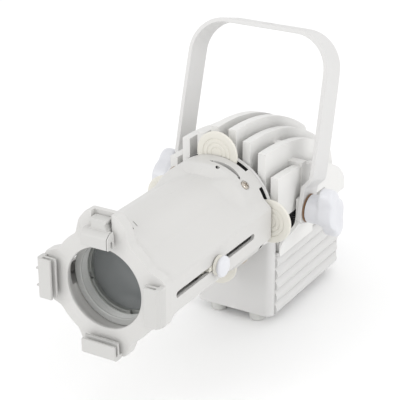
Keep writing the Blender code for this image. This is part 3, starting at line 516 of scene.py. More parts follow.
def barrel_reach(angle, y):
    """The outer surface of the barrel."""
    if y <= 24:
        lift = 1 - math.sqrt(max(0.0, 1 - max(0.0, 1 - y / 1.1) ** 2))
        flange = FLANGE_AT(angle) - 1.1 * lift
        if y < 8.5:
            return flange
        t = (y - 8.5) / (24 - 8.5)
        quick = 1 - (1 - t) ** 2.2
        slow = t ** 1.15 * (1.6 - 0.6 * t)
        off_top = abs(math.degrees(math.atan2(math.cos(angle), math.sin(angle))))
        hump = 1 - ease((off_top - 5) / 10)
        flow = quick * (1 - hump) + slow * hump
        return flange * (1 - flow) + TUBE_AT(angle) * flow
    if y <= 161.9:
        swell = collar_swell(angle, y)
        return TUBE_AT(angle) * (1 - swell) + COLLAR_AT(angle) * swell
    if y <= 162.8:
        flow = ease((y - 161.9) / 0.9)
        return COLLAR_AT(angle) * (1 - flow) + COLLAR * flow
    if y > COLLAR_END - 0.7:
        return COLLAR - 0.5 * ((y - COLLAR_END + 0.7) / 0.7) ** 2
    return COLLAR


print("reach at the side:", round(barrel_reach(0, 60), 2), "and at the top:",
      round(barrel_reach(math.pi / 2, 60), 2))

# %% [markdown]
# The inside is a plain bore, with a lip at the front, a pocket behind each rail for the slider
# blocks, and a wider bore in the collar for the gate. Outer and inner surfaces are two grids over
# the same fan of directions, so the wall closes by joining their edges.

# %% Loft one half shell
OUTER_STATIONS = [0, 0.35, 0.8, 1.2, 4, 7.2, 8.5, 9.3, 10.3, 11.6, 13.2, 15, 17, 19, 21, 23, 24, 30, 60,
                  90, 110]
OUTER_STATIONS += [116, 122,
                   127] + [128.5 + 1.5 * i for i in range(5)] + [135.5 + 0.75 * i for i in range(16)]
OUTER_STATIONS += [149, 155, 161.9, 162.2, 162.5, 162.8, 166, COLLAR_END - 0.7, COLLAR_END - 0.35,
                   COLLAR_END]
INNER_STATIONS = [COLLAR_END, 144, 138, 137, 136.9, 11.4, 11.3, 2.5, 2.45, 0.6, 0]


def bore_reach(angle, y):
    if y < 2.5:
        return 32.0 + max(0, 0.6 - y) * 0.8
    if y >= 138:
        return BORE + (COLLAR_BORE - BORE) * min(1.0, (y - 138) / 6)
    if 11.4 <= y <= 136.9:
        x = 48.4
        z = 11.0
        direction = abs(math.cos(angle)), abs(math.sin(angle))
        pocket = x / max(direction[0], 1e-6)
        if pocket * direction[1] > z:
            pocket = z / direction[1]
        return max(BORE, pocket)
    return BORE


def fan():
    """Directions for half a section, with every corner of the outlines among them."""
    angles = {round(math.radians(-90 + 2.5 * i), 4) for i in range(73)}
    for outline in (flange_outline(), tube_outline(TUBE, 45),
                    [(48.4, 11), (48.4, -11), (35.55, 11), (35.55, -11)]):
        for x, z in outline:
            if x > -0.01:
                angles.add(round(math.atan2(z, x), 4))
    kept = []
    for angle in sorted(angles):
        if -math.pi / 2 <= angle <= math.pi / 2 and (not kept or angle - kept[-1] > 0.006):
            kept.append(angle)
    kept[0] = -math.pi / 2
    kept[-1] = math.pi / 2
    return kept


def half_shell(sign):
    gap = SEAM_GAP
    sections = []
    for stations, reach in ((OUTER_STATIONS, barrel_reach), (INNER_STATIONS, bore_reach)):
        for y in stations:
            section = []
            for angle in fan():
                direction = angle if sign > 0 else math.pi - angle
                radius = reach(direction, y)
                x = radius * math.cos(direction)
                section.append((x, y, radius * math.sin(direction)))
            section[0] = (sign * gap, y, section[0][2])
            section[-1] = (sign * gap, y, section[-1][2])
            sections.append(section)
    bm = bmesh.new()
    rows = [[bm.verts.new(at(*point)) for point in section] for section in sections]
    count = len(rows)
    for r in range(count):
        one = rows[r]
        two = rows[(r + 1) % count]
        for i in range(len(one) - 1):
            bm.faces.new((one[i], one[i + 1], two[i + 1], two[i]))
    for end in (0, -1):
        bm.faces.new([row[end] for row in rows])
    bmesh.ops.recalc_face_normals(bm, faces=bm.faces)
    bmesh.ops.triangulate(bm, faces=bm.faces)
    return bm


# %% [markdown]
# The openings are cut last: a round-ended slot in each rail, a window at each side of the collar
# for the shutters, the pattern slot, four screw recesses with a keyhole beside each, the latch
# notch, and two small holes. A Boolean with the exact solver keeps their edges sharp.

# %% Cut the openings
SCREW_Y = 150
SCREW_SEAT = 46.6
LINING_START = 96
INDEX_HOLE = {"degrees": 76, "radius": 1.7, "y": 145}
FRONT_HOLE = {"degrees": 79, "radius": 1.9, "y": 26.5, "low": 36.95}


def slot_solid(sign):
    ends = arc(134 - 2.5, 0, 2.5, 90, -90, 8) + arc(17 + 2.5, 0, 2.5, 270, 90, 8)
    return sweep(ends, sign * 42, sign * 60, "X")


def window(degrees, half_angle=34.5):
    near = GATE_Y - 2.28
    far = GATE_Y + 2.28
    outline = arc(0, 0, 56, -half_angle, half_angle, 10) + arc(0, 0, 36, half_angle, -half_angle, 10)
    return spin_y(sweep(outline, near, far), degrees)


def pattern_slot(upper):
    """A crescent: its front edge is straight and its rear edge bows, so both ends are points."""
    middle = 70.5 if upper else -70.5
    count = 16
    angles = [math.radians(middle - 18 + 36 * i / count) for i in range(count + 1)]
    sections = []
    for i, angle in enumerate(angles):
        depth = 0.3 + 4.5 * math.sin(math.pi * i / count) ** 0.7
        corners = ((38, 150.2), (56, 150.2), (56, 150.2 + depth), (38, 150.2 + depth))
        sections.append([at(r * math.cos(angle), y, r * math.sin(angle)) for r, y in corners])
    return rings(sections)


def radial_hole(degrees, radius, y, low=38, high=60, across=0.0):
    return spin_y(turn([(0, high), (radius, high), (radius, low), (0, low)], "X", (0, y, across), 24),
                  degrees)


def shell_cutters(sign):
    cutters = [slot_solid(sign)]
    cutters += [window(0 if sign > 0 else 180), window(90), window(270)]
    for place in (45, -45) if sign > 0 else (135, 225):
        cutters.append(radial_hole(place, 2.3, SCREW_Y))
        cutters.append(radial_hole(place, 4.4, SCREW_Y, SCREW_SEAT))
        cutters.append(radial_hole(place, 1.5, SCREW_Y, 46.2, 60, 7.4))
    if sign > 0:
        cutters += [pattern_slot(True), pattern_slot(False)]
        cutters.append(radial_hole(**INDEX_HOLE))
        cutters.append(radial_hole(**FRONT_HOLE))
        slit = sweep([(3.2, 32.0), (3.2, 32.7), (-3.2, 36.4), (-3.2, 35.7)], 36.95, 60, "Z")
        cutters.append(spin_y(slit, -8.5))
    cutters.append(block((-8.6, -5, 43), (8.6, 4.4, 80)))
    cutters.append(turn([(0, 12), (1.3, 12), (1.3, -3), (0, -3)], "Y", (sign * 31.5, 0, 34.5), 16))
    return cutters


for side, sign in (("left", -1), ("right", 1)):
    shell = half_shell(sign)
    for solid in shell_cutters(sign):
        shell = carve(shell, [solid])
    bmesh.ops.remove_doubles(shell, verts=shell.verts, dist=0.000001)
    bmesh.ops.holes_fill(shell, edges=[edge for edge in shell.edges if edge.is_boundary])
    made = piece(f"barrel_half_{side}", shell, WHITE_PAINT, "lamp",
                 f"barrel_shell_{side}", angle=28)
    made.data.materials.append(BLACK_LINING)
    lined_from = at(0, LINING_START, 0).y
    window_front = at(0, GATE_Y - 2.4, 0).y
    window_rear = at(0, GATE_Y + 2.4, 0).y
    for face in made.data.polygons:
        outward = Vector((face.center.x, 0, face.center.z - AXIS_Z))
        inner = outward.length < 46.6 * mm and face.normal.dot(outward.normalized()) < 0.35
        lined = inner and face.center.y > lined_from and abs(face.normal.y) < 0.9
        in_window = window_front < face.center.y < window_rear and outward.length < 47.3 * mm
        if lined or in_window and abs(face.normal.dot(outward.normalized())) < 0.35:
            face.material_index = 1
    print(made.name, len(made.data.polygons), "faces")

# %% [markdown]
# ## Recipes in Geometry Nodes
# What repeats, or follows a rule, is grown by a small node tree with named sizes. `recipe` opens a
# tree with those inputs, and `grow` runs it on a throwaway object and hands back a plain mesh, so
# the same tree can make eight fins of different heights.


# %% Open a tree and run it
def recipe(name, **sizes):
    tree = bpy.data.node_groups.new(name, "GeometryNodeTree")
    kinds = {"material": "NodeSocketMaterial", "object": "NodeSocketObject", "count": "NodeSocketInt"}
    for label, kind in sizes.items():
        tree.interface.new_socket(label, in_out="INPUT", socket_type=kinds.get(kind, "NodeSocketFloat"))
    tree.interface.new_socket("Geometry", in_out="OUTPUT", socket_type="NodeSocketGeometry")
    graph = Graph(tree)
    entry = tree.nodes.new("NodeGroupInput")
    return graph, {label: Value(graph, entry.outputs[label]) for label in sizes}


def close_recipe(graph, geometry, material):
    solid = graph.add("GeometryNodeRealizeInstances", None, {"Geometry": geometry})
    painted = graph.add("GeometryNodeSetMaterial", None, {"Geometry": solid, "Material": material})
    leave = graph.tree.nodes.new("NodeGroupOutput")
    graph.feed(leave.inputs["Geometry"], painted)
    return graph.tree


def grow(tree, **values):
    """Runs the tree with these sizes and returns its mesh."""
    holder = bpy.data.objects.new("holder", bpy.data.meshes.new("holder"))
    bpy.context.scene.collection.objects.link(holder)
    modifier = holder.modifiers.new("grow", "NODES")
    modifier.node_group = tree
    for item in tree.interface.items_tree:
        if item.in_out == "INPUT":
            modifier[item.identifier] = values[item.name]
    evaluated = holder.evaluated_get(bpy.context.evaluated_depsgraph_get())
    mesh = bpy.data.meshes.new_from_object(evaluated)
    holder.modifiers.clear()
    bpy.data.objects.remove(holder)
    return mesh


def gathered(meshes):
    """Several meshes or bmeshes as one bmesh."""
    whole = bmesh.new()
    for one in meshes:
        if isinstance(one, bmesh.types.BMesh):
            bmesh.ops.recalc_face_normals(one, faces=one.faces)
            mesh = bpy.data.meshes.new("part")
            one.to_mesh(mesh)
            one.free()
            one = mesh
        whole.from_mesh(one)
        bpy.data.meshes.remove(one)
    return whole


# %% [markdown]
# ## The heatsink
# Eight vertical fins stand on a plate behind the lamp. They all follow one rule, a flat-topped
# arch that falls away to the rear, and differ in height, length and foot. A unit cube with many
# slices along Y is bent into that shape: its top falls with a power of the run and rolls over at
# the rear end, and its bottom steps down where the driver box's cover ends.

# %% A tree for one fin
FALL_RATE = 0.000545
FALL_POWER = 2.3
graph, size = recipe("cooling_fin", Middle="", Thick="", Front="", Rear="", Top="", Step="", Shallow="",
                     Deep="", Paint="material")
cube = graph.add("GeometryNodeMeshCube", None, {"Vertices X": 2, "Vertices Y": 72, "Vertices Z": 2})
spot = graph.add("GeometryNodeInputPosition")
split = graph.add("ShaderNodeSeparateXYZ", None, {"Vector": spot})
node = split.socket.node
unit_x, unit_y, unit_z = (Value(graph, node.outputs[i]) for i in range(3))
share = graph.math("SINE", (unit_y + 0.5) * (math.pi / 2))
share = graph.math("MINIMUM", share, 1.0)
along = size["Front"] + (size["Rear"] - size["Front"]) * share
drop = graph.math("POWER", (along - size["Front"]) / mm, FALL_POWER) * (FALL_RATE * mm)
tail = graph.add("ShaderNodeClamp", None, {"Value": (size["Rear"] - along) / (14 * mm)})
rounding = graph.math("SQRT", graph.math("MAXIMUM", 1.0 - graph.math("POWER", 1.0 - tail, 2.0), 0.0))
sink = graph.add(
    "ShaderNodeMapRange",
    {"clamp": True},
    {"Value": along, "From Min": size["Step"], "From Max": size["Step"] + 2.5 * mm,
     "To Min": size["Shallow"], "To Max": size["Deep"]},
)
low_end = size["Deep"] + 9 * mm
crown = low_end + (size["Top"] - drop - low_end) * rounding
upper = graph.math("GREATER_THAN", unit_z, 0.0)
height = sink + (crown - sink) * upper
across = size["Middle"] + size["Thick"] * unit_x
place = graph.add("ShaderNodeCombineXYZ", None, {"X": across, "Y": along, "Z": height})
bent = graph.add("GeometryNodeSetPosition", None, {"Geometry": cube, "Position": place})
FIN = close_recipe(graph, bent, size["Paint"])

# %% Grow the eight fins and join their plate and lamp cup
FIN_FRONT = 174.3
FIN_THICK = 6.8
FINS = ((8.0, 67.0, 312.0), (21.0, 59.0, 308.4), (35.0, 51.6, 304.8), (46.9, 33.0, 301.2))
fins = []
for middle, top, rear in FINS:
    outer = middle > 40
    for sign in (-1, 1):
        start = at(sign * middle, FIN_FRONT, top)
        fins.append(
            grow(
                FIN,
                Middle=start.x,
                Thick=FIN_THICK * mm,
                Front=start.y,
                Rear=at(0, rear, 0).y,
                Top=start.z,
                Step=at(0, 262.5 if outer else 200.4, 0).y,
                Shallow=at(0, 0, -5.2 if outer else -28).z,
                Deep=at(0, 0, -21 if outer else -45.7).z,
                Paint=LIGHTENED_CAST_PAINT,
            )
        )
fins.append(block((-51.3, 214, -3), (51.3, 222, 33)))
fins.append(block((-36, 214.2, -44), (36, 221.6, 46)))
fins.append(turn([(30.5, 215), (30.5, 175.2), (29.9, 174.6), (28.1, 174.6), (27.5, 175.2), (27.5, 215)],
                 steps=96))
# The fins carry the lightened white, painted lighter against the shade between them.
heatsink = piece("finned_heatsink", gathered(fins), LIGHTENED_CAST_PAINT, "lamp", "heatsink",
                 bevel=0.7, segments=3)
print(heatsink.name, len(heatsink.data.polygons), "faces")

# %% [markdown]
# A cable sleeve runs from the lamp cup down to the driver. Only a black glimpse of it shows under
# the outer fin. Its rings come from one more simple rule: the radius ripples along its length.

# %% Ribbed cable sleeves
for side, sign in (("right", 1), ("left", -1)):
    profile = []
    for i in range(41):
        profile.append((3.3 + 0.5 * math.cos(2 * math.pi * i / 4), -24.5 + i * 0.5))
    sleeve = turn([(0, -24.5)] + profile + [(0, -4.5)], "Z", (sign * 46.2, 211, 0), 32)
    piece(f"cable_sleeve_{side}", sleeve, BLACK_PLASTIC, "lamp")

# %% [markdown]
# ## Collar screws
# Four pan-head screws with a cross recess hold the halves to the gate. One head is shaped and then
# a tree sets it on a ring of points, each turned to look away from the lens axis.


# %% One cross-recess head, pointing along X
def screw_head(radius, height):
    dome = [(0, height), (radius * 0.55, height * 0.93), (radius * 0.86, height * 0.66),
            (radius, height * 0.25)]
    dome += [(radius, 0), (0, 0)]
    head = turn([(r, x) for r, x in dome], "X", (0, 0, 0), 32)
    arms = []
    for angle in (0, 90):
        arm = block((height * 0.3, -radius * 0.68, -radius * 0.15),
                    (height * 2, radius * 0.68, radius * 0.15))
        turned = Matrix.Rotation(math.radians(angle + 20), 3, "X")
        bmesh.ops.rotate(arm, cent=ORIGIN, matrix=turned, verts=arm.verts)
        arms.append(arm)
    head = carve(head, arms)
    bmesh.ops.translate(head, vec=-ORIGIN, verts=head.verts)
    return head


# %% A tree that sets heads on a ring
graph, size = recipe("ring_of_screws", Screw="object", Count="count", Ring="", First="", Depth="",
                     Height="", Paint="material")
circle = graph.add("GeometryNodeMeshCircle", None, {"Vertices": size["Count"], "Radius": size["Ring"]})
turning = graph.add("ShaderNodeCombineXYZ", None, {"X": math.pi / 2, "Y": size["First"]})
middle = graph.add("ShaderNodeCombineXYZ", None, {"Y": size["Depth"], "Z": size["Height"]})
placed = graph.add("GeometryNodeTransform", None, {"Geometry": circle, "Rotation": turning,
                                                   "Translation": middle})
spot = graph.add("GeometryNodeInputPosition")
outward = graph.add("ShaderNodeVectorMath", {"operation": "SUBTRACT"}, {0: spot, 1: middle})
facing = graph.add("FunctionNodeAlignRotationToVector", {"axis": "X"}, {"Vector": outward})
head = graph.add("GeometryNodeObjectInfo", None, {"Object": size["Screw"]}, out=4)
heads = graph.add("GeometryNodeInstanceOnPoints", None,
                  {"Points": placed, "Instance": head, "Rotation": facing})
SCREW_RING = close_recipe(graph, heads, size["Paint"])

# %% Grow the four collar screws
pattern_screw = loose(screw_head(3.6, 1.8), "pattern_screw")
ring = grow(
    SCREW_RING,
    Screw=pattern_screw,
    Count=4,
    Ring=46.7 * mm,
    First=math.radians(45),
    Depth=at(0, SCREW_Y, 0).y,
    Height=AXIS_Z,
    Paint=NICKEL,
)
screws = piece("collar_screws", ring, NICKEL, "lamp",
               [f"collar_screw_{i}" for i in (1, 2, 3, 4)])
print(screws.name, [[round(v, 3) for v in corner] for corner in screws.bound_box][0])

# %% [markdown]
# ## Gate and shutters
# Behind the collar lies a thin white plate, and between its two dark guide plates four steel
# blades slide. Each blade ends in a round cream handle with turned steps, so that a hot blade can
# be pushed with a finger. The handles are lathe work: a stepped profile turned about its own axis.

# %% Gate plates
housing = [turn([(46.9, 172.4), (47.3, 172.0), (47.3, 169.5), (47.0, 169.2), (23, 169.2), (23, 172.4)],
                steps=96)]
for place in (45, 135, 225, 315):
    housing.append(spin_y(block((38.3, 145.4, -3.9), (43.4, 170, 3.9)), place))
piece("gate_back_plate", gathered(housing), SHEET_PAINT, "lamp", "gate_housing", bevel=0.25)

BLADE_PITCH = 0.8
HANDLE_REACH = 48.8


def handle_profile(y):
    """Steps on the front and on the back, from the rim to the middle."""
    front = [(0, -1.15), (4.1, -1.15), (4.5, -0.75), (5.2, -0.75), (5.6, -1.25), (7.6, -1.25), (8.0, -0.8)]
    front += [(8.9, -0.8), (9.3, -1.3), (11.4, -1.3), (11.8, -0.85), (12.7, -0.85), (13.1, -1.4),
              (17.0, -1.5)]
    rim = [(17.9, -1.3), (18.4, -0.6), (18.4, 0.6), (17.9, 1.3)]
    back = [(r, -d) for r, d in reversed(front)]
    return [(r, y + d) for r, d in front + rim + back]


layers = {"top": (90, -1.5), "right": (0, -0.5), "bottom": (270, 0.5), "left": (180, 1.5)}
for place, (degrees, layer) in layers.items():
    blade_y = GATE_Y + BLADE_PITCH * layer
    disc_y = GATE_Y + 0.4 * BLADE_PITCH * layer
    body = f"{place}_shutter"
    handle = spin_y(turn(handle_profile(disc_y), "Y", (HANDLE_REACH, 0, 0), 96), degrees)
    piece(f"shutter_disc_{place}", handle, CREAM_PLASTIC, body,
          f"shutter_handle_{place}", angle=24)
    outline = [(3.5, -21), (20, -21), (26, -9), (31, -9), (31, 9), (26, 9), (20, 21), (3.5, 21)]
    blade = spin_y(sweep(rounded(outline, 1.4, 3), blade_y - 0.2, blade_y + 0.2), degrees)
    piece(f"framing_blade_{place}", blade, BLUED_STEEL, body, f"shutter_blade_{place}")

# %% [markdown]
# ## Lens carriages
# Two tubes slide in the barrel, each with a plano-convex lens. The front one is seen through the
# opening, so it gets a stepped seat, a retaining ring with notches for a spanner, and fine
# baffling rings down its bore that keep stray light in.

# %% Front carriage
bore = [(31.6, 16.0), (31.2, 16.4), (31.2, 17.4)]
for i in range(6):
    y = 17.4 + i * 1.15
    bore += [(31.6, y + 0.3), (31.6, y + 0.8), (31.2, y + 1.15)]
bore += [(31.2, 25.0), (31.4, 25.8), (34.3, 25.8), (34.3, 82)]
carriage = turn([(36.8, 82), (36.8, 16.6), (36.2, 16.0)] + bore, steps=128)
piece("front_lens_tube", carriage, PALE_LINING, "front_carriage",
      "front_lens_carriage", angle=30)
collar = turn([(33.9, 29.4), (33.9, 26.2), (33.2, 25.9), (29.6, 25.9), (29.2, 26.3), (29.2, 29.4)],
              steps=128)
collar = carve(collar,
               [spin_y(block((26, 24, -2.6), (32.4, 28, 2.6)), place) for place in (15, 105, 195, 285)])
piece("lens_retaining_ring", collar, GREY_LINING, "front_carriage", bevel=0.2)

# %% Rear carriage
tube = turn([(36.8, 122), (36.8, 104.6), (36.2, 104), (31, 104), (30.5, 104.5), (30.5, 112), (34.3, 112),
             (34.3, 122)], steps=128)
piece("rear_lens_tube", tube, GREY_LINING, "rear_carriage", "rear_lens_carriage",
      angle=30)


# %% [markdown]
# Each lens is a disc with a flat side and a domed side, ground to a circle's arc.


# %% Lenses
def lens(radius, flat_y, edge, centre):
    sag = centre - edge
    curve = (radius * radius + sag * sag) / (2 * sag)
    dome = []
    for i in range(25):
        r = radius * i / 24
        dome.append((r, flat_y + centre - (curve - math.sqrt(curve * curve - r * r))))
    return turn([(0, flat_y), (radius - 0.4, flat_y), (radius, flat_y + 0.4)] + dome[::-1], steps=96)


piece("front_glass", lens(34.1, 29.6, 3, 13), GLASS, "front_carriage", "front_lens")
piece("rear_glass", lens(34.1, 112.3, 3, 12), GLASS, "rear_carriage", "rear_lens")

# %% [markdown]
# ## Sliders and their thumb screws
# A block rides in each side rail with its neck in the slot, and a mushroom-shaped thumb screw
# clamps it. The stem is cream, the cap is a cooler white and softly domed.


# %% Slider blocks and thumb screws
NECK_SETBACK = 2.2


def slider(name, sign, low, high, body, node):
    wide = [(37.1, -8), (46.4, -8), (46.4, 8), (37.1, 8)]
    neck = [(44.0, -2.1), (51.3, -2.1), (51.3, 2.1), (44.0, 2.1)]
    solid = sweep([(sign * x, z) for x, z in wide], low, high)
    # The neck is shorter than the block, so it stops before the slot's round end.
    solid = carve(solid, added=[sweep([(sign * x, z) for x, z in neck], low + NECK_SETBACK,
                                      high - NECK_SETBACK)])
    piece(name, solid, CREAM_PLASTIC, body, node, bevel=0.5, segments=3)


def thumb_screw(name, sign, y, body, node):
    stem = [(0, 51.7), (7.4, 51.7), (7.9, 52.0), (7.9, 53.0), (7.1, 53.5), (6.6, 54.3)]
    cap = [(7.3, 54.9), (8.0, 55.4), (8.4, 56.2), (8.4, 57.0), (8.0, 57.9), (7.1, 58.6), (5.2, 59.2),
           (2.8, 59.5), (0, 59.6)]
    solid = turn(stem + cap, "X", (0, y, 0), 64, sign)
    made = piece(name, solid, COOL_PLASTIC, body, node, angle=40)
    made.data.materials.append(CREAM_PLASTIC)
    edge = at(54.4, 0, 0).x
    for face in made.data.polygons:
        if abs(face.center.x) < edge:
            face.material_index = 1


slider("focus_slide_block", 1, 62, 81, "front_carriage", "focus_slider")
slider("zoom_slide_block", -1, 106, 120, "rear_carriage", "zoom_slider")
thumb_screw("focus_thumb_cap", 1, 75, "focus_thumb_screw", "focus_knob")
thumb_screw("zoom_thumb_cap", -1, 113, "zoom_thumb_screw", "zoom_knob")

# %% [markdown]
# ## Colour frame clips and latch
# Three channels around the flange hold a colour frame by its edges, and a sliding latch at the top
# closes the fourth side. A channel's section is drawn once, with two lips and soft corners, swept,
# and turned to its place. The left side clip has two small ribs that stiffen its outer wall.


# %% Clips
def clip(name, degrees, half, ribs):
    outline = [(52.5, 0.2), (53.0, -2.5), (52.8, -7.5), (50.6, -10), (40.6, -10), (40.0, -9.2),
               (40.0, -7.8), (48.9, -7.6)]
    outline += [(49.0, -5.2), (38.9, -5.2), (38.5, -4.6), (38.5, -3.4), (49, -3.0), (49, 0.2)]
    solid = sweep(outline, -half, half, "Z")
    for z in ribs:
        solid = carve(solid, added=[block((50.0, -8.8, z - 0.7), (53.9, -1.0, z + 0.7))])
    piece(name, spin_y(solid, degrees), DARKENED_CLIP_PAINT, "lamp", f"frame_{name}", bevel=0.7,
          segments=3)


clip("clip_right", 0, 15.2, ())
clip("clip_bottom", 270, 14.5, ())
clip("clip_left", 180, 16, (-7, 7))

# %% Latch
cap = [(-10, 36.6), (-9.2, 36.4), (-2.6, 36.4), (-2.2, 37.0), (-2.2, 46.5), (-3.0, 49), (-6.2, 48.2),
       (-9.4, 45.6), (-10, 44.4)]
latch = sweep(cap, -11.9, 11.9, "X")
tongue = [(-7.6, 43.4), (7.6, 43.4), (7.6, 48.6), (6.3, 50.3), (5.6, 53), (7.2, 55.4), (7.2, 56.6),
          (-7.2, 56.6), (-7.2, 55.4)]
tongue += [(-5.6, 53), (-6.3, 50.3), (-7.6, 48.6)]
neck = rings([[at(x, y, z) for x, z in tongue] for y in (-4.6, 3.9)])
latch = carve(latch, [block((-20, -6.6, 30), (20, -4.4, 42)), block((10.2, -11, 30), (10.7, 0, 60))],
              [neck])
piece("frame_latch_catch", latch, DARKENED_CLIP_PAINT, "colour_frame_latch", "frame_latch",
      bevel=0.6, segments=3)

# %% [markdown]
# ## The cradle
# A bent sheet cradle joins the driver box to the heatsink and carries the yoke's pivots on two
# ears. It is one section swept along Y, and the ears are what is left after the front and rear of
# the upper part have been cut away with rounded cutters.


# %% Cradle
def smooth_path(points, steps=6):
    """A Catmull-Rom curve through the points."""
    made = []
    ends = [points[0]] + list(points) + [points[-1]]
    for a, b, c, d in zip(ends, ends[1:], ends[2:], ends[3:]):
        a, b, c, d = (Vector(p) for p in (a, b, c, d))
        for k in range(steps):
            t = k / steps
            p = 0.5 * (2 * b + (c - a) * t + (2 * a - 5 * b + 4 * c - d) * t * t + (3 * b - a - 3 * c + d) * t ** 3)
            made.append(tuple(p))
    made.append(tuple(points[-1]))
    return made


CRADLE_OUT = [(40.0, -49.0), (39.9, -43.5), (41.2, -37.5), (44.9, -31), (50.8, -23.4), (54.4, -18.2),
              (55.2, -13), (55.2, 6)]
CRADLE_IN = [(38.8, -46), (39.3, -36), (42.5, -29.8), (48.4, -22.0), (51.6, -17), (52.3, -12.4), (52.3, 6)]
outer_side = smooth_path(CRADLE_OUT)
inner_side = smooth_path(CRADLE_IN)
right = outer_side + inner_side[::-1]
section = right + [(-x, z) for x, z in reversed(right)]
cradle = sweep(section, 200.4, 261.8)
behind = rounded([(222, -16), (222, 30), (290, 30), (290, -20), (260, -22)], 8, 8)
before = rounded([(203, -12), (203, 30), (150, 30), (150, -18.5), (198, -24)], 7, 8)
ear_cuts = [sweep(behind, -90, 90, "X"), sweep(before, -90, 90, "X"),
            turn([(4.3, -90), (4.3, 90), (0, 90), (0, -90)], "X", (0, 212, -4), 40)]
cradle = carve(cradle, ear_cuts)
# The cradle shares the fins' white, which is painted lighter against the shade between the fins.
piece("pivot_cradle_sheet", cradle, LIGHTENED_CAST_PAINT, "lamp", "pivot_cradle", bevel=0.4,
      angle=30)

# %% [markdown]
# ## The yoke
# One flat bar, bent into a U, with a step in each arm so that the arms clear the knobs' hubs. The
# path is drawn in the plane of the bar, and each ring across it narrows near the two ends, which
# gives the ends their round corners. It is made upright, drilled, and then leant back.

# %% Yoke
PIVOT = at(0, 212, -4)
LEAN = Matrix.Rotation(math.radians(-14.5), 3, "X")
YOKE_WIDE = 26.0
YOKE_TALL = 143.5


def yoke_path(inset):
    """Outer face when inset is 0, inner face when it is the bar's thickness."""
    low = 59.2 - inset
    high = 65.6 - inset
    turn_x = 64.4 - 32
    lift = inset * 0.25
    path = [(low, -13), (low, -11.5), (low, -9), (low, 5), (low, 16.2 + lift), (low + 0.5, 17.8 + lift),
            (low + 1.6, 19.3 + lift)]
    path += [(high - 1.4, 22.9 + lift), (high - 0.4, 24.6 + lift), (high, 26.4 + lift), (high - 0.2, 60),
             (high - 0.8, 95)]
    path += arc(turn_x, YOKE_TALL - 32, 32 - inset, 0, 90, 16)
    path.append((0, YOKE_TALL - inset))
    return path + [(-x, z) for x, z in reversed(path[:-1])]


outer_path = yoke_path(0)
inner_path = yoke_path(3.5)
bars = []
for (ox, oz), (ix, iz) in zip(outer_path, inner_path):
    reach = min(13.0, oz + 13.0)
    corner = 6.0
    cut = corner - math.sqrt(max(0.0, corner ** 2 - (corner - reach) ** 2)) if reach < corner else 0.0
    half = YOKE_WIDE / 2 - cut
    bars.append([PIVOT + Vector(p) * mm for p in ((ox, -half, oz), (ox, half, oz), (ix, half, iz),
                                                  (ix, -half, iz))])
yoke = rings(bars)
drills = [turn([(4.3, -90), (4.3, 90), (0, 90), (0, -90)], "X", (0, 212, -4), 40)]
drills.append(turn([(5.2, 120), (5.2, 170), (0, 170), (0, 120)], "Z", (0, 212, -4), 40))
yoke = carve(yoke, drills)
bmesh.ops.rotate(yoke, cent=PIVOT, matrix=LEAN, verts=yoke.verts)
piece("yoke_bail_bar", yoke, SHEET_PAINT, "yoke_bail", "yoke", bevel=0.55, segments=3,
      angle=25)

# %% [markdown]
# ## Tilt knobs
# Each knob is a bow tie on a round hub. The rule for its outline is the distance from the pivot to
# a rounded bar, blended with a circle so that the waist fills out. The rings along X follow the
# hub first, then swell into the wings and roll over at the outer edge.


# %% Winged knobs
def wing_reach(angle, tip=7.2, centre=16.8, waist=12.8):
    c = abs(math.cos(angle))
    s = abs(math.sin(angle))
    bar = tip / max(s, 1e-6)
    if bar * c > centre or s < 1e-6:
        bar = centre * c + math.sqrt(max(0.0, tip * tip - (centre * s) ** 2))
    return (bar ** 6 + waist ** 6) ** (1 / 6)


def winged_knob(name, sign, degrees, body, node):
    start = 61.2
    stations = [(0, 11.4, 0), (0.4, 11.9, 0), (8.6, 11.9, 0), (9.8, 11.9, 0.1), (10.8, 11.9, 0.32),
                (11.6, 11.9, 0.62)]
    stations += [(12.4, 11.9, 0.84), (13.4, 11.9, 0.96), (14.8, 11.9, 1.0), (20.5, 11.9, 1.0),
                 (22.2, 11.9, 0.97)]
    stations += [(23.6, 11.9, 0.90), (24.4, 11.6, 0.80), (24.8, 11.0, 0.68)]
    sections = []
    for depth, hub, share in stations:
        ring = []
        for i in range(96):
            angle = 2 * math.pi * i / 96
            reach = wing_reach(angle - math.radians(degrees))
            radius = hub + (reach - hub) * share
            saddle = 1.6 * max(0.0, 1 - (radius / 15.0) ** 2) if depth > 24 else 0.0
            x = sign * (start + depth - saddle)
            ring.append(at(x, 212 + radius * math.cos(angle), -4 + radius * math.sin(angle)))
        sections.append(ring)
    for scale, dip in ((0.82, 0.1), (0.6, 0.9), (0.35, 1.5), (0.12, 1.7)):
        ring = []
        for i in range(96):
            angle = 2 * math.pi * i / 96
            reach = wing_reach(angle - math.radians(degrees))
            radius = (11.0 + (reach - 11.0) * 0.68) * scale
            ring.append(at(sign * (start + 24.9 - dip), 212 + radius * math.cos(angle),
                           -4 + radius * math.sin(angle)))
        sections.append(ring)
    solid = rings(sections)
    solid = carve(solid, [turn([(4.4, 55), (4.4, 77), (0, 77), (0, 55)], "X", (0, 212, -4), 32, sign)])
    piece(name, solid, COOL_PLASTIC, body, node, angle=40)


winged_knob("winged_knob_right", 1, 112, "right_tilt_knob", "tilt_knob_right")
winged_knob("winged_knob_left", -1, 58, "left_tilt_knob", "tilt_knob_left")
for side, sign in (("right", 1), ("left", -1)):
    profile = [(11.9, 59.6), (12.1, 59.9), (11.9, 60.6), (4.4, 60.6), (4.4, 59.6)]
    washer = turn(profile, "X", (0, 212, -4), 64, sign)
    piece(f"fibre_washer_{side}", washer, BROWN_FIBRE, "yoke_bail", f"friction_washer_{side}")

# %% [markdown]
# ## The driver box
# Its shell is an extrusion with five rounded ribs down each side. The rule is again simple: the
# half width is a base plus a bump that repeats five times with height. A tree bends a sliced cube
# into it, and the room for the driver is cut out afterwards.

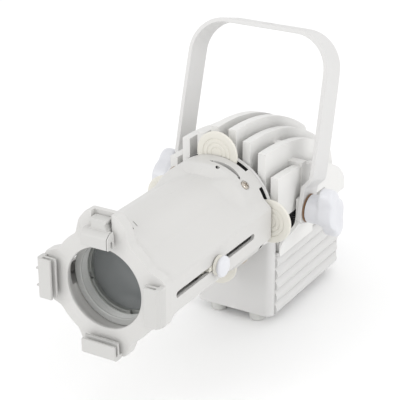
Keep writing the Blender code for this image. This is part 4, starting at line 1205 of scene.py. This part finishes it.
# %% A tree for the ribbed shell
graph, size = recipe("ribbed_extrusion", Half="", Rib="", Ribs="", Low="", High="", Front="", Rear="",
                     Paint="material")
cube = graph.add("GeometryNodeMeshCube", None, {"Vertices X": 2, "Vertices Y": 2, "Vertices Z": 101})
spot = graph.add("GeometryNodeInputPosition")
node = graph.add("ShaderNodeSeparateXYZ", None, {"Vector": spot}).socket.node
unit_x, unit_y, unit_z = (Value(graph, node.outputs[i]) for i in range(3))
share = unit_z + 0.5
height = size["Low"] + (size["High"] - size["Low"]) * share
phase = graph.math("FRACT", share * size["Ribs"] * 0.9999)
wave = graph.math("SINE", graph.math("POWER", phase, 0.8) * math.pi)
bump = size["Rib"] * graph.math("POWER", graph.math("MAXIMUM", wave, 0.0), 0.7)
across = unit_x * 2.0 * (size["Half"] + bump)
along = (size["Front"] + size["Rear"]) * 0.5 + (size["Rear"] - size["Front"]) * unit_y
place = graph.add("ShaderNodeCombineXYZ", None, {"X": across, "Y": along, "Z": height})
bent = graph.add("GeometryNodeSetPosition", None, {"Geometry": cube, "Position": place})
RIBBED_BOX = close_recipe(graph, bent, size["Paint"])

# %% Grow the shell and hollow it
mesh = grow(
    RIBBED_BOX,
    Half=35.2 * mm,
    Rib=3.3 * mm,
    Ribs=5.0,
    Low=at(0, 0, -104.3).z,
    High=at(0, 0, -49.7).z,
    Front=at(0, 200.1, 0).y,
    Rear=at(0, 317.9, 0).y,
    Paint=SHEET_PAINT,
)
shell = carve(gathered([mesh]), [block((-32.5, 190, -101.8), (32.5, 330, -52.2))])
piece("driver_box_extrusion", shell, SHEET_PAINT, "lamp", "driver_box_shell", angle=50)

# %% [markdown]
# The front cover is a shallow tray with large vertical roundings, and it stands a little higher
# than the shell. The rear panel is flat sheet with the display, four keys and the sockets.

# %% Front cover
plan = [(36.5, 199.7)] + arc(36.5 - 6.5, 192.7 + 6.5, 6.5, 0, -90, 10)
plan += [(-x, y) for x, y in reversed(plan)]
cover = carve(sweep(plan, -104.5, -32.0, "Z"), [block((-32.5, 195.7, -102), (32.5, 210, -52))])
piece("driver_box_cover", cover, SHEET_PAINT, "lamp", "driver_box_front_cover", bevel=0.9,
      segments=3, angle=30)

# %% Rear panel
panel_outline = rounded([(36.5, -104.5), (36.5, -49.5), (-36.5, -49.5), (-36.5, -104.5)], 2.5, 5)
openings = [sweep(rounded([(-31, -84.3), (-31, -73.7), (-29, -68.7), (-5, -68.7), (-3.2, -73.7),
                           (-3.2, -89.3), (-31, -89.3)], 1.5, 3), 310, 330)]
openings.append(block((-28.3, 310, -100.6), (-5.7, 330, -94.4)))
openings.append(block((-30.3, 310, -63.8), (-3.7, 330, -54.2)))
for x in (7.8, 24.2):
    openings.append(turn([(7.5, 310), (7.5, 330), (0, 330), (0, 310)], "Y", (x, 0, -84), 48))
for x in (3, 11, 19, 27):
    openings.append(turn([(2.9, 310), (2.9, 330), (0, 330), (0, 310)], "Y", (x, 0, -59), 32))
rear = carve(sweep(panel_outline, 318.3, 321.0), openings)
piece("driver_box_back", rear, SHEET_PAINT, "lamp", "driver_box_rear_panel", bevel=0.35,
      angle=30)

# %% Inlet, fuse drawer and data sockets
shroud = rounded([(-33, -90.5), (-33, -67.5), (-1, -67.5), (-1, -90.5)], 2.5, 5)
mouth = rounded([(-28.5, -86.5), (-28.5, -75.5), (-24.5, -71.5), (-9.5, -71.5), (-5.5, -75.5),
                 (-5.5, -86.5)], 1.2, 4)
inlet = sweep(shroud, 321.2, 323.3)
inlet = carve(inlet, [sweep(mouth, 308.2, 340)], [block((-30.4, 300.6, -88.9), (-3.6, 322, -69.1))])
for x, z in ((-17, -76.2), (-22.6, -81.4), (-11.4, -81.4)):
    inlet = carve(inlet, added=[sweep(rounded([(x - 1.1, z - 2.2), (x + 1.1, z - 2.2),
                                               (x + 1.1, z + 2.2), (x - 1.1,
                                                       z + 2.2)], 0.5, 3), 307, 319)])
piece("mains_inlet", inlet, BLACK_PLASTIC, "lamp", "power_inlet", bevel=0.3, angle=30)
drawer = sweep(rounded([(-27.9, -100.2), (-27.9, -94.8), (-6.1, -94.8), (-6.1, -100.2)], 0.8, 3), 306.5,
               322.4)
drawer = carve(drawer, [block((-20, 321.2, -98.9), (-14, 325, -96.1))])
piece("fuse_tray", drawer, BLACK_PLASTIC, "lamp", "fuse_drawer", bevel=0.2)
for name, x, node in (("data_input", 7.8, "data_in_socket"), ("data_output", 24.2, "data_out_socket")):
    profile = [(0, 304.5), (7.1, 304.5), (7.1, 321.3), (7.9, 321.4), (7.9, 322.6), (7.4, 323.2),
               (6.4, 323.2), (5.9, 322.7)]
    profile += [(5.8, 308.5), (0, 308.5)]
    socket = turn(profile, "Y", (x, 0, -84), 48)
    for i in range(3):
        angle = math.radians(90 + 120 * i)
        pin = (x + 2.9 * math.cos(angle), 0, -84 + 2.9 * math.sin(angle))
        if name == "data_input":
            shape = [(0, 307.5), (0.75, 307.5), (0.75, 318.5), (0.4, 319.3), (0, 319.5)]
            socket = carve(socket, added=[turn(shape, "Y", pin, 12)])
        else:
            plug = [(0, 307.5), (1.5, 307.5), (1.5, 317), (0.8, 317), (0.8, 311), (0, 311)]
            socket = carve(socket, added=[turn(plug, "Y", pin, 16)])
    piece(name, socket, BLACK_PLASTIC, "lamp", node, angle=30)

# %% Display and keys
glass = sweep(rounded([(-29.9, -63.4), (-29.9, -54.6), (-4.1, -54.6), (-4.1, -63.4)], 1.0, 4), 317.5, 320.6)
glass = carve(glass, [block((-27.6, 320.2, -61.6), (-6.4, 322, -56.4))])
piece("display_pane", glass, SCREEN, "lamp", "display_window", bevel=0.15)
for i, x in enumerate((3, 11, 19, 27)):
    cap = [(0, 313.2), (2.5, 313.2), (2.5, 322.4), (2.2, 322.9), (1.6, 323.15), (0.8, 323.1), (0, 323.05)]
    key = turn(cap, "Y", (x, 0, -59), 32)
    piece(f"menu_key_{i + 1}", key, KEY_GREY, f"button_{i + 1}",
          f"menu_button_{i + 1}", angle=35)

# %% Corner screws of the rear panel, and feet
corner_screws = []
for x in (-33.6, 33.6):
    for z in (-101.6, -52.4):
        head = [(0, 322.0), (1.1, 321.9), (1.8, 321.6), (2.1, 321.2), (2.1, 320.8), (0, 320.8)]
        across = block((x - 1.4, 321.4, z - 0.3), (x + 1.4, 325, z + 0.3))
        upright = block((x - 0.3, 321.4, z - 1.4), (x + 0.3, 325, z + 1.4))
        corner_screws.append(carve(turn(head, "Y", (x, 0, z), 28), [across, upright]))
piece("panel_screws", gathered(corner_screws), NICKEL, "lamp")
for row, y in (("front", 202), ("rear", 312)):
    for side, sign in (("right", 1), ("left", -1)):
        profile = [(0, -112.8), (5.2, -112.8), (6.2, -112.5), (6.8, -111.8), (7.4, -106.6),
                   (7.8, -105.4), (7.4, -104.8), (0, -104.8)]
        foot = turn(profile, "Z", (sign * 19, y, 0), 40)
        piece(f"rubber_foot_{row}_{side}", foot, GREY_RUBBER, "lamp",
              f"foot_{row}_{side}", angle=30)

# %% [markdown]
# ## Inside pieces
# What sits deep inside keeps its CAD shape and only gets a finish: the driver board, the control
# board, the light engine, the guide plates and the pivot bolts.

# %% Finishes on the kept parts
inside = {
    "driver_board": GREEN_BOARD,
    "control_board": GREEN_BOARD,
    "led_board": GREEN_BOARD,
    "led_emitter": PHOSPHOR,
    "reflector": MIRROR_METAL,
    "shutter_guide": BLACKENED_STEEL,
    "gate_plate": BLACKENED_STEEL,
    "pivot_bolt_left": NICKEL,
    "pivot_bolt_right": NICKEL,
}
for node, material in inside.items():
    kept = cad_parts[node]
    kept = bpy.data.objects[kept] if isinstance(kept, str) else kept
    kept.data.materials.clear()
    kept.data.materials.append(material)
print(len(inside), "kept parts have a finish")
bpy.data.objects.remove(pattern_screw)

# %% [markdown]
# ## Camera, light and floor
# A long lens far back keeps the lamp's lines nearly parallel, as in a catalogue picture. The floor
# is nearly white, the sky light is even, and two soft panels give the paint its shape.

# %% Camera
scene = bpy.context.scene
camera_data = bpy.data.cameras.new("camera")
camera_data.lens = 126.18
camera_data.sensor_width = 36
camera_data.clip_end = 50
camera = bpy.data.objects.new("camera", camera_data)
scene.collection.objects.link(camera)
camera.location = at(518.9, -741.1, 464.2)
camera.rotation_euler = (math.radians(90 - 23.62), math.radians(0.09), math.radians(30.54))
scene.camera = camera


# %% Floor and lights
def floor_material():
    material = bpy.data.materials.new("white_sweep_paper")
    material.use_nodes = True
    graph = Graph(material.node_tree)
    shader = material.node_tree.nodes["Principled BSDF"]
    place = graph.add("ShaderNodeTexCoord", out=3)
    fibre = graph.add("ShaderNodeTexNoise", None, {"Vector": place, "Scale": 900.0, "Detail": 2.0})
    shader.inputs["Base Color"].default_value = (0.96, 0.96, 0.96, 1)
    graph.feed(shader.inputs["Roughness"], 0.85 + 0.1 * fibre)
    shader.inputs["Specular IOR Level"].default_value = 0.1
    return material


floor_mesh = bpy.data.meshes.new("floor")
floor_mesh.from_pydata([(-6, -6, 0), (6, -6, 0), (6, 6, 0), (-6, 6, 0)], [], [(0, 1, 2, 3)])
floor_mesh.materials.append(floor_material())
floor = bpy.data.objects.new("floor", floor_mesh)
scene.collection.objects.link(floor)


def panel(name, place, target, width, height, power, colour=(1, 1, 1)):
    light = bpy.data.lights.new(name, "AREA")
    light.shape = "RECTANGLE"
    light.size = width
    light.size_y = height
    light.energy = power
    light.color = colour
    made = bpy.data.objects.new(name, light)
    made.location = place
    made.rotation_euler = (Vector(target) - Vector(place)).to_track_quat("-Z", "Y").to_euler()
    scene.collection.objects.link(made)


world = bpy.data.worlds.new("even_sky")
world.use_nodes = True
world.node_tree.nodes["Background"].inputs["Color"].default_value = (1, 1, 1, 1)
world.node_tree.nodes["Background"].inputs["Strength"].default_value = 0.97
scene.world = world
panel("left_panel", (-0.8, -1.5, 0.9), (0, 0, 0.1), 1.0, 1.0, 7)
panel("right_panel", (1.5, -0.3, 0.9), (0, 0, 0.1), 0.8, 0.8, 5)
panel("back_panel", (0.2, 1.5, 1.2), (0, 0, 0.1), 1.2, 0.7, 3)
scene.view_settings.view_transform = "Standard"
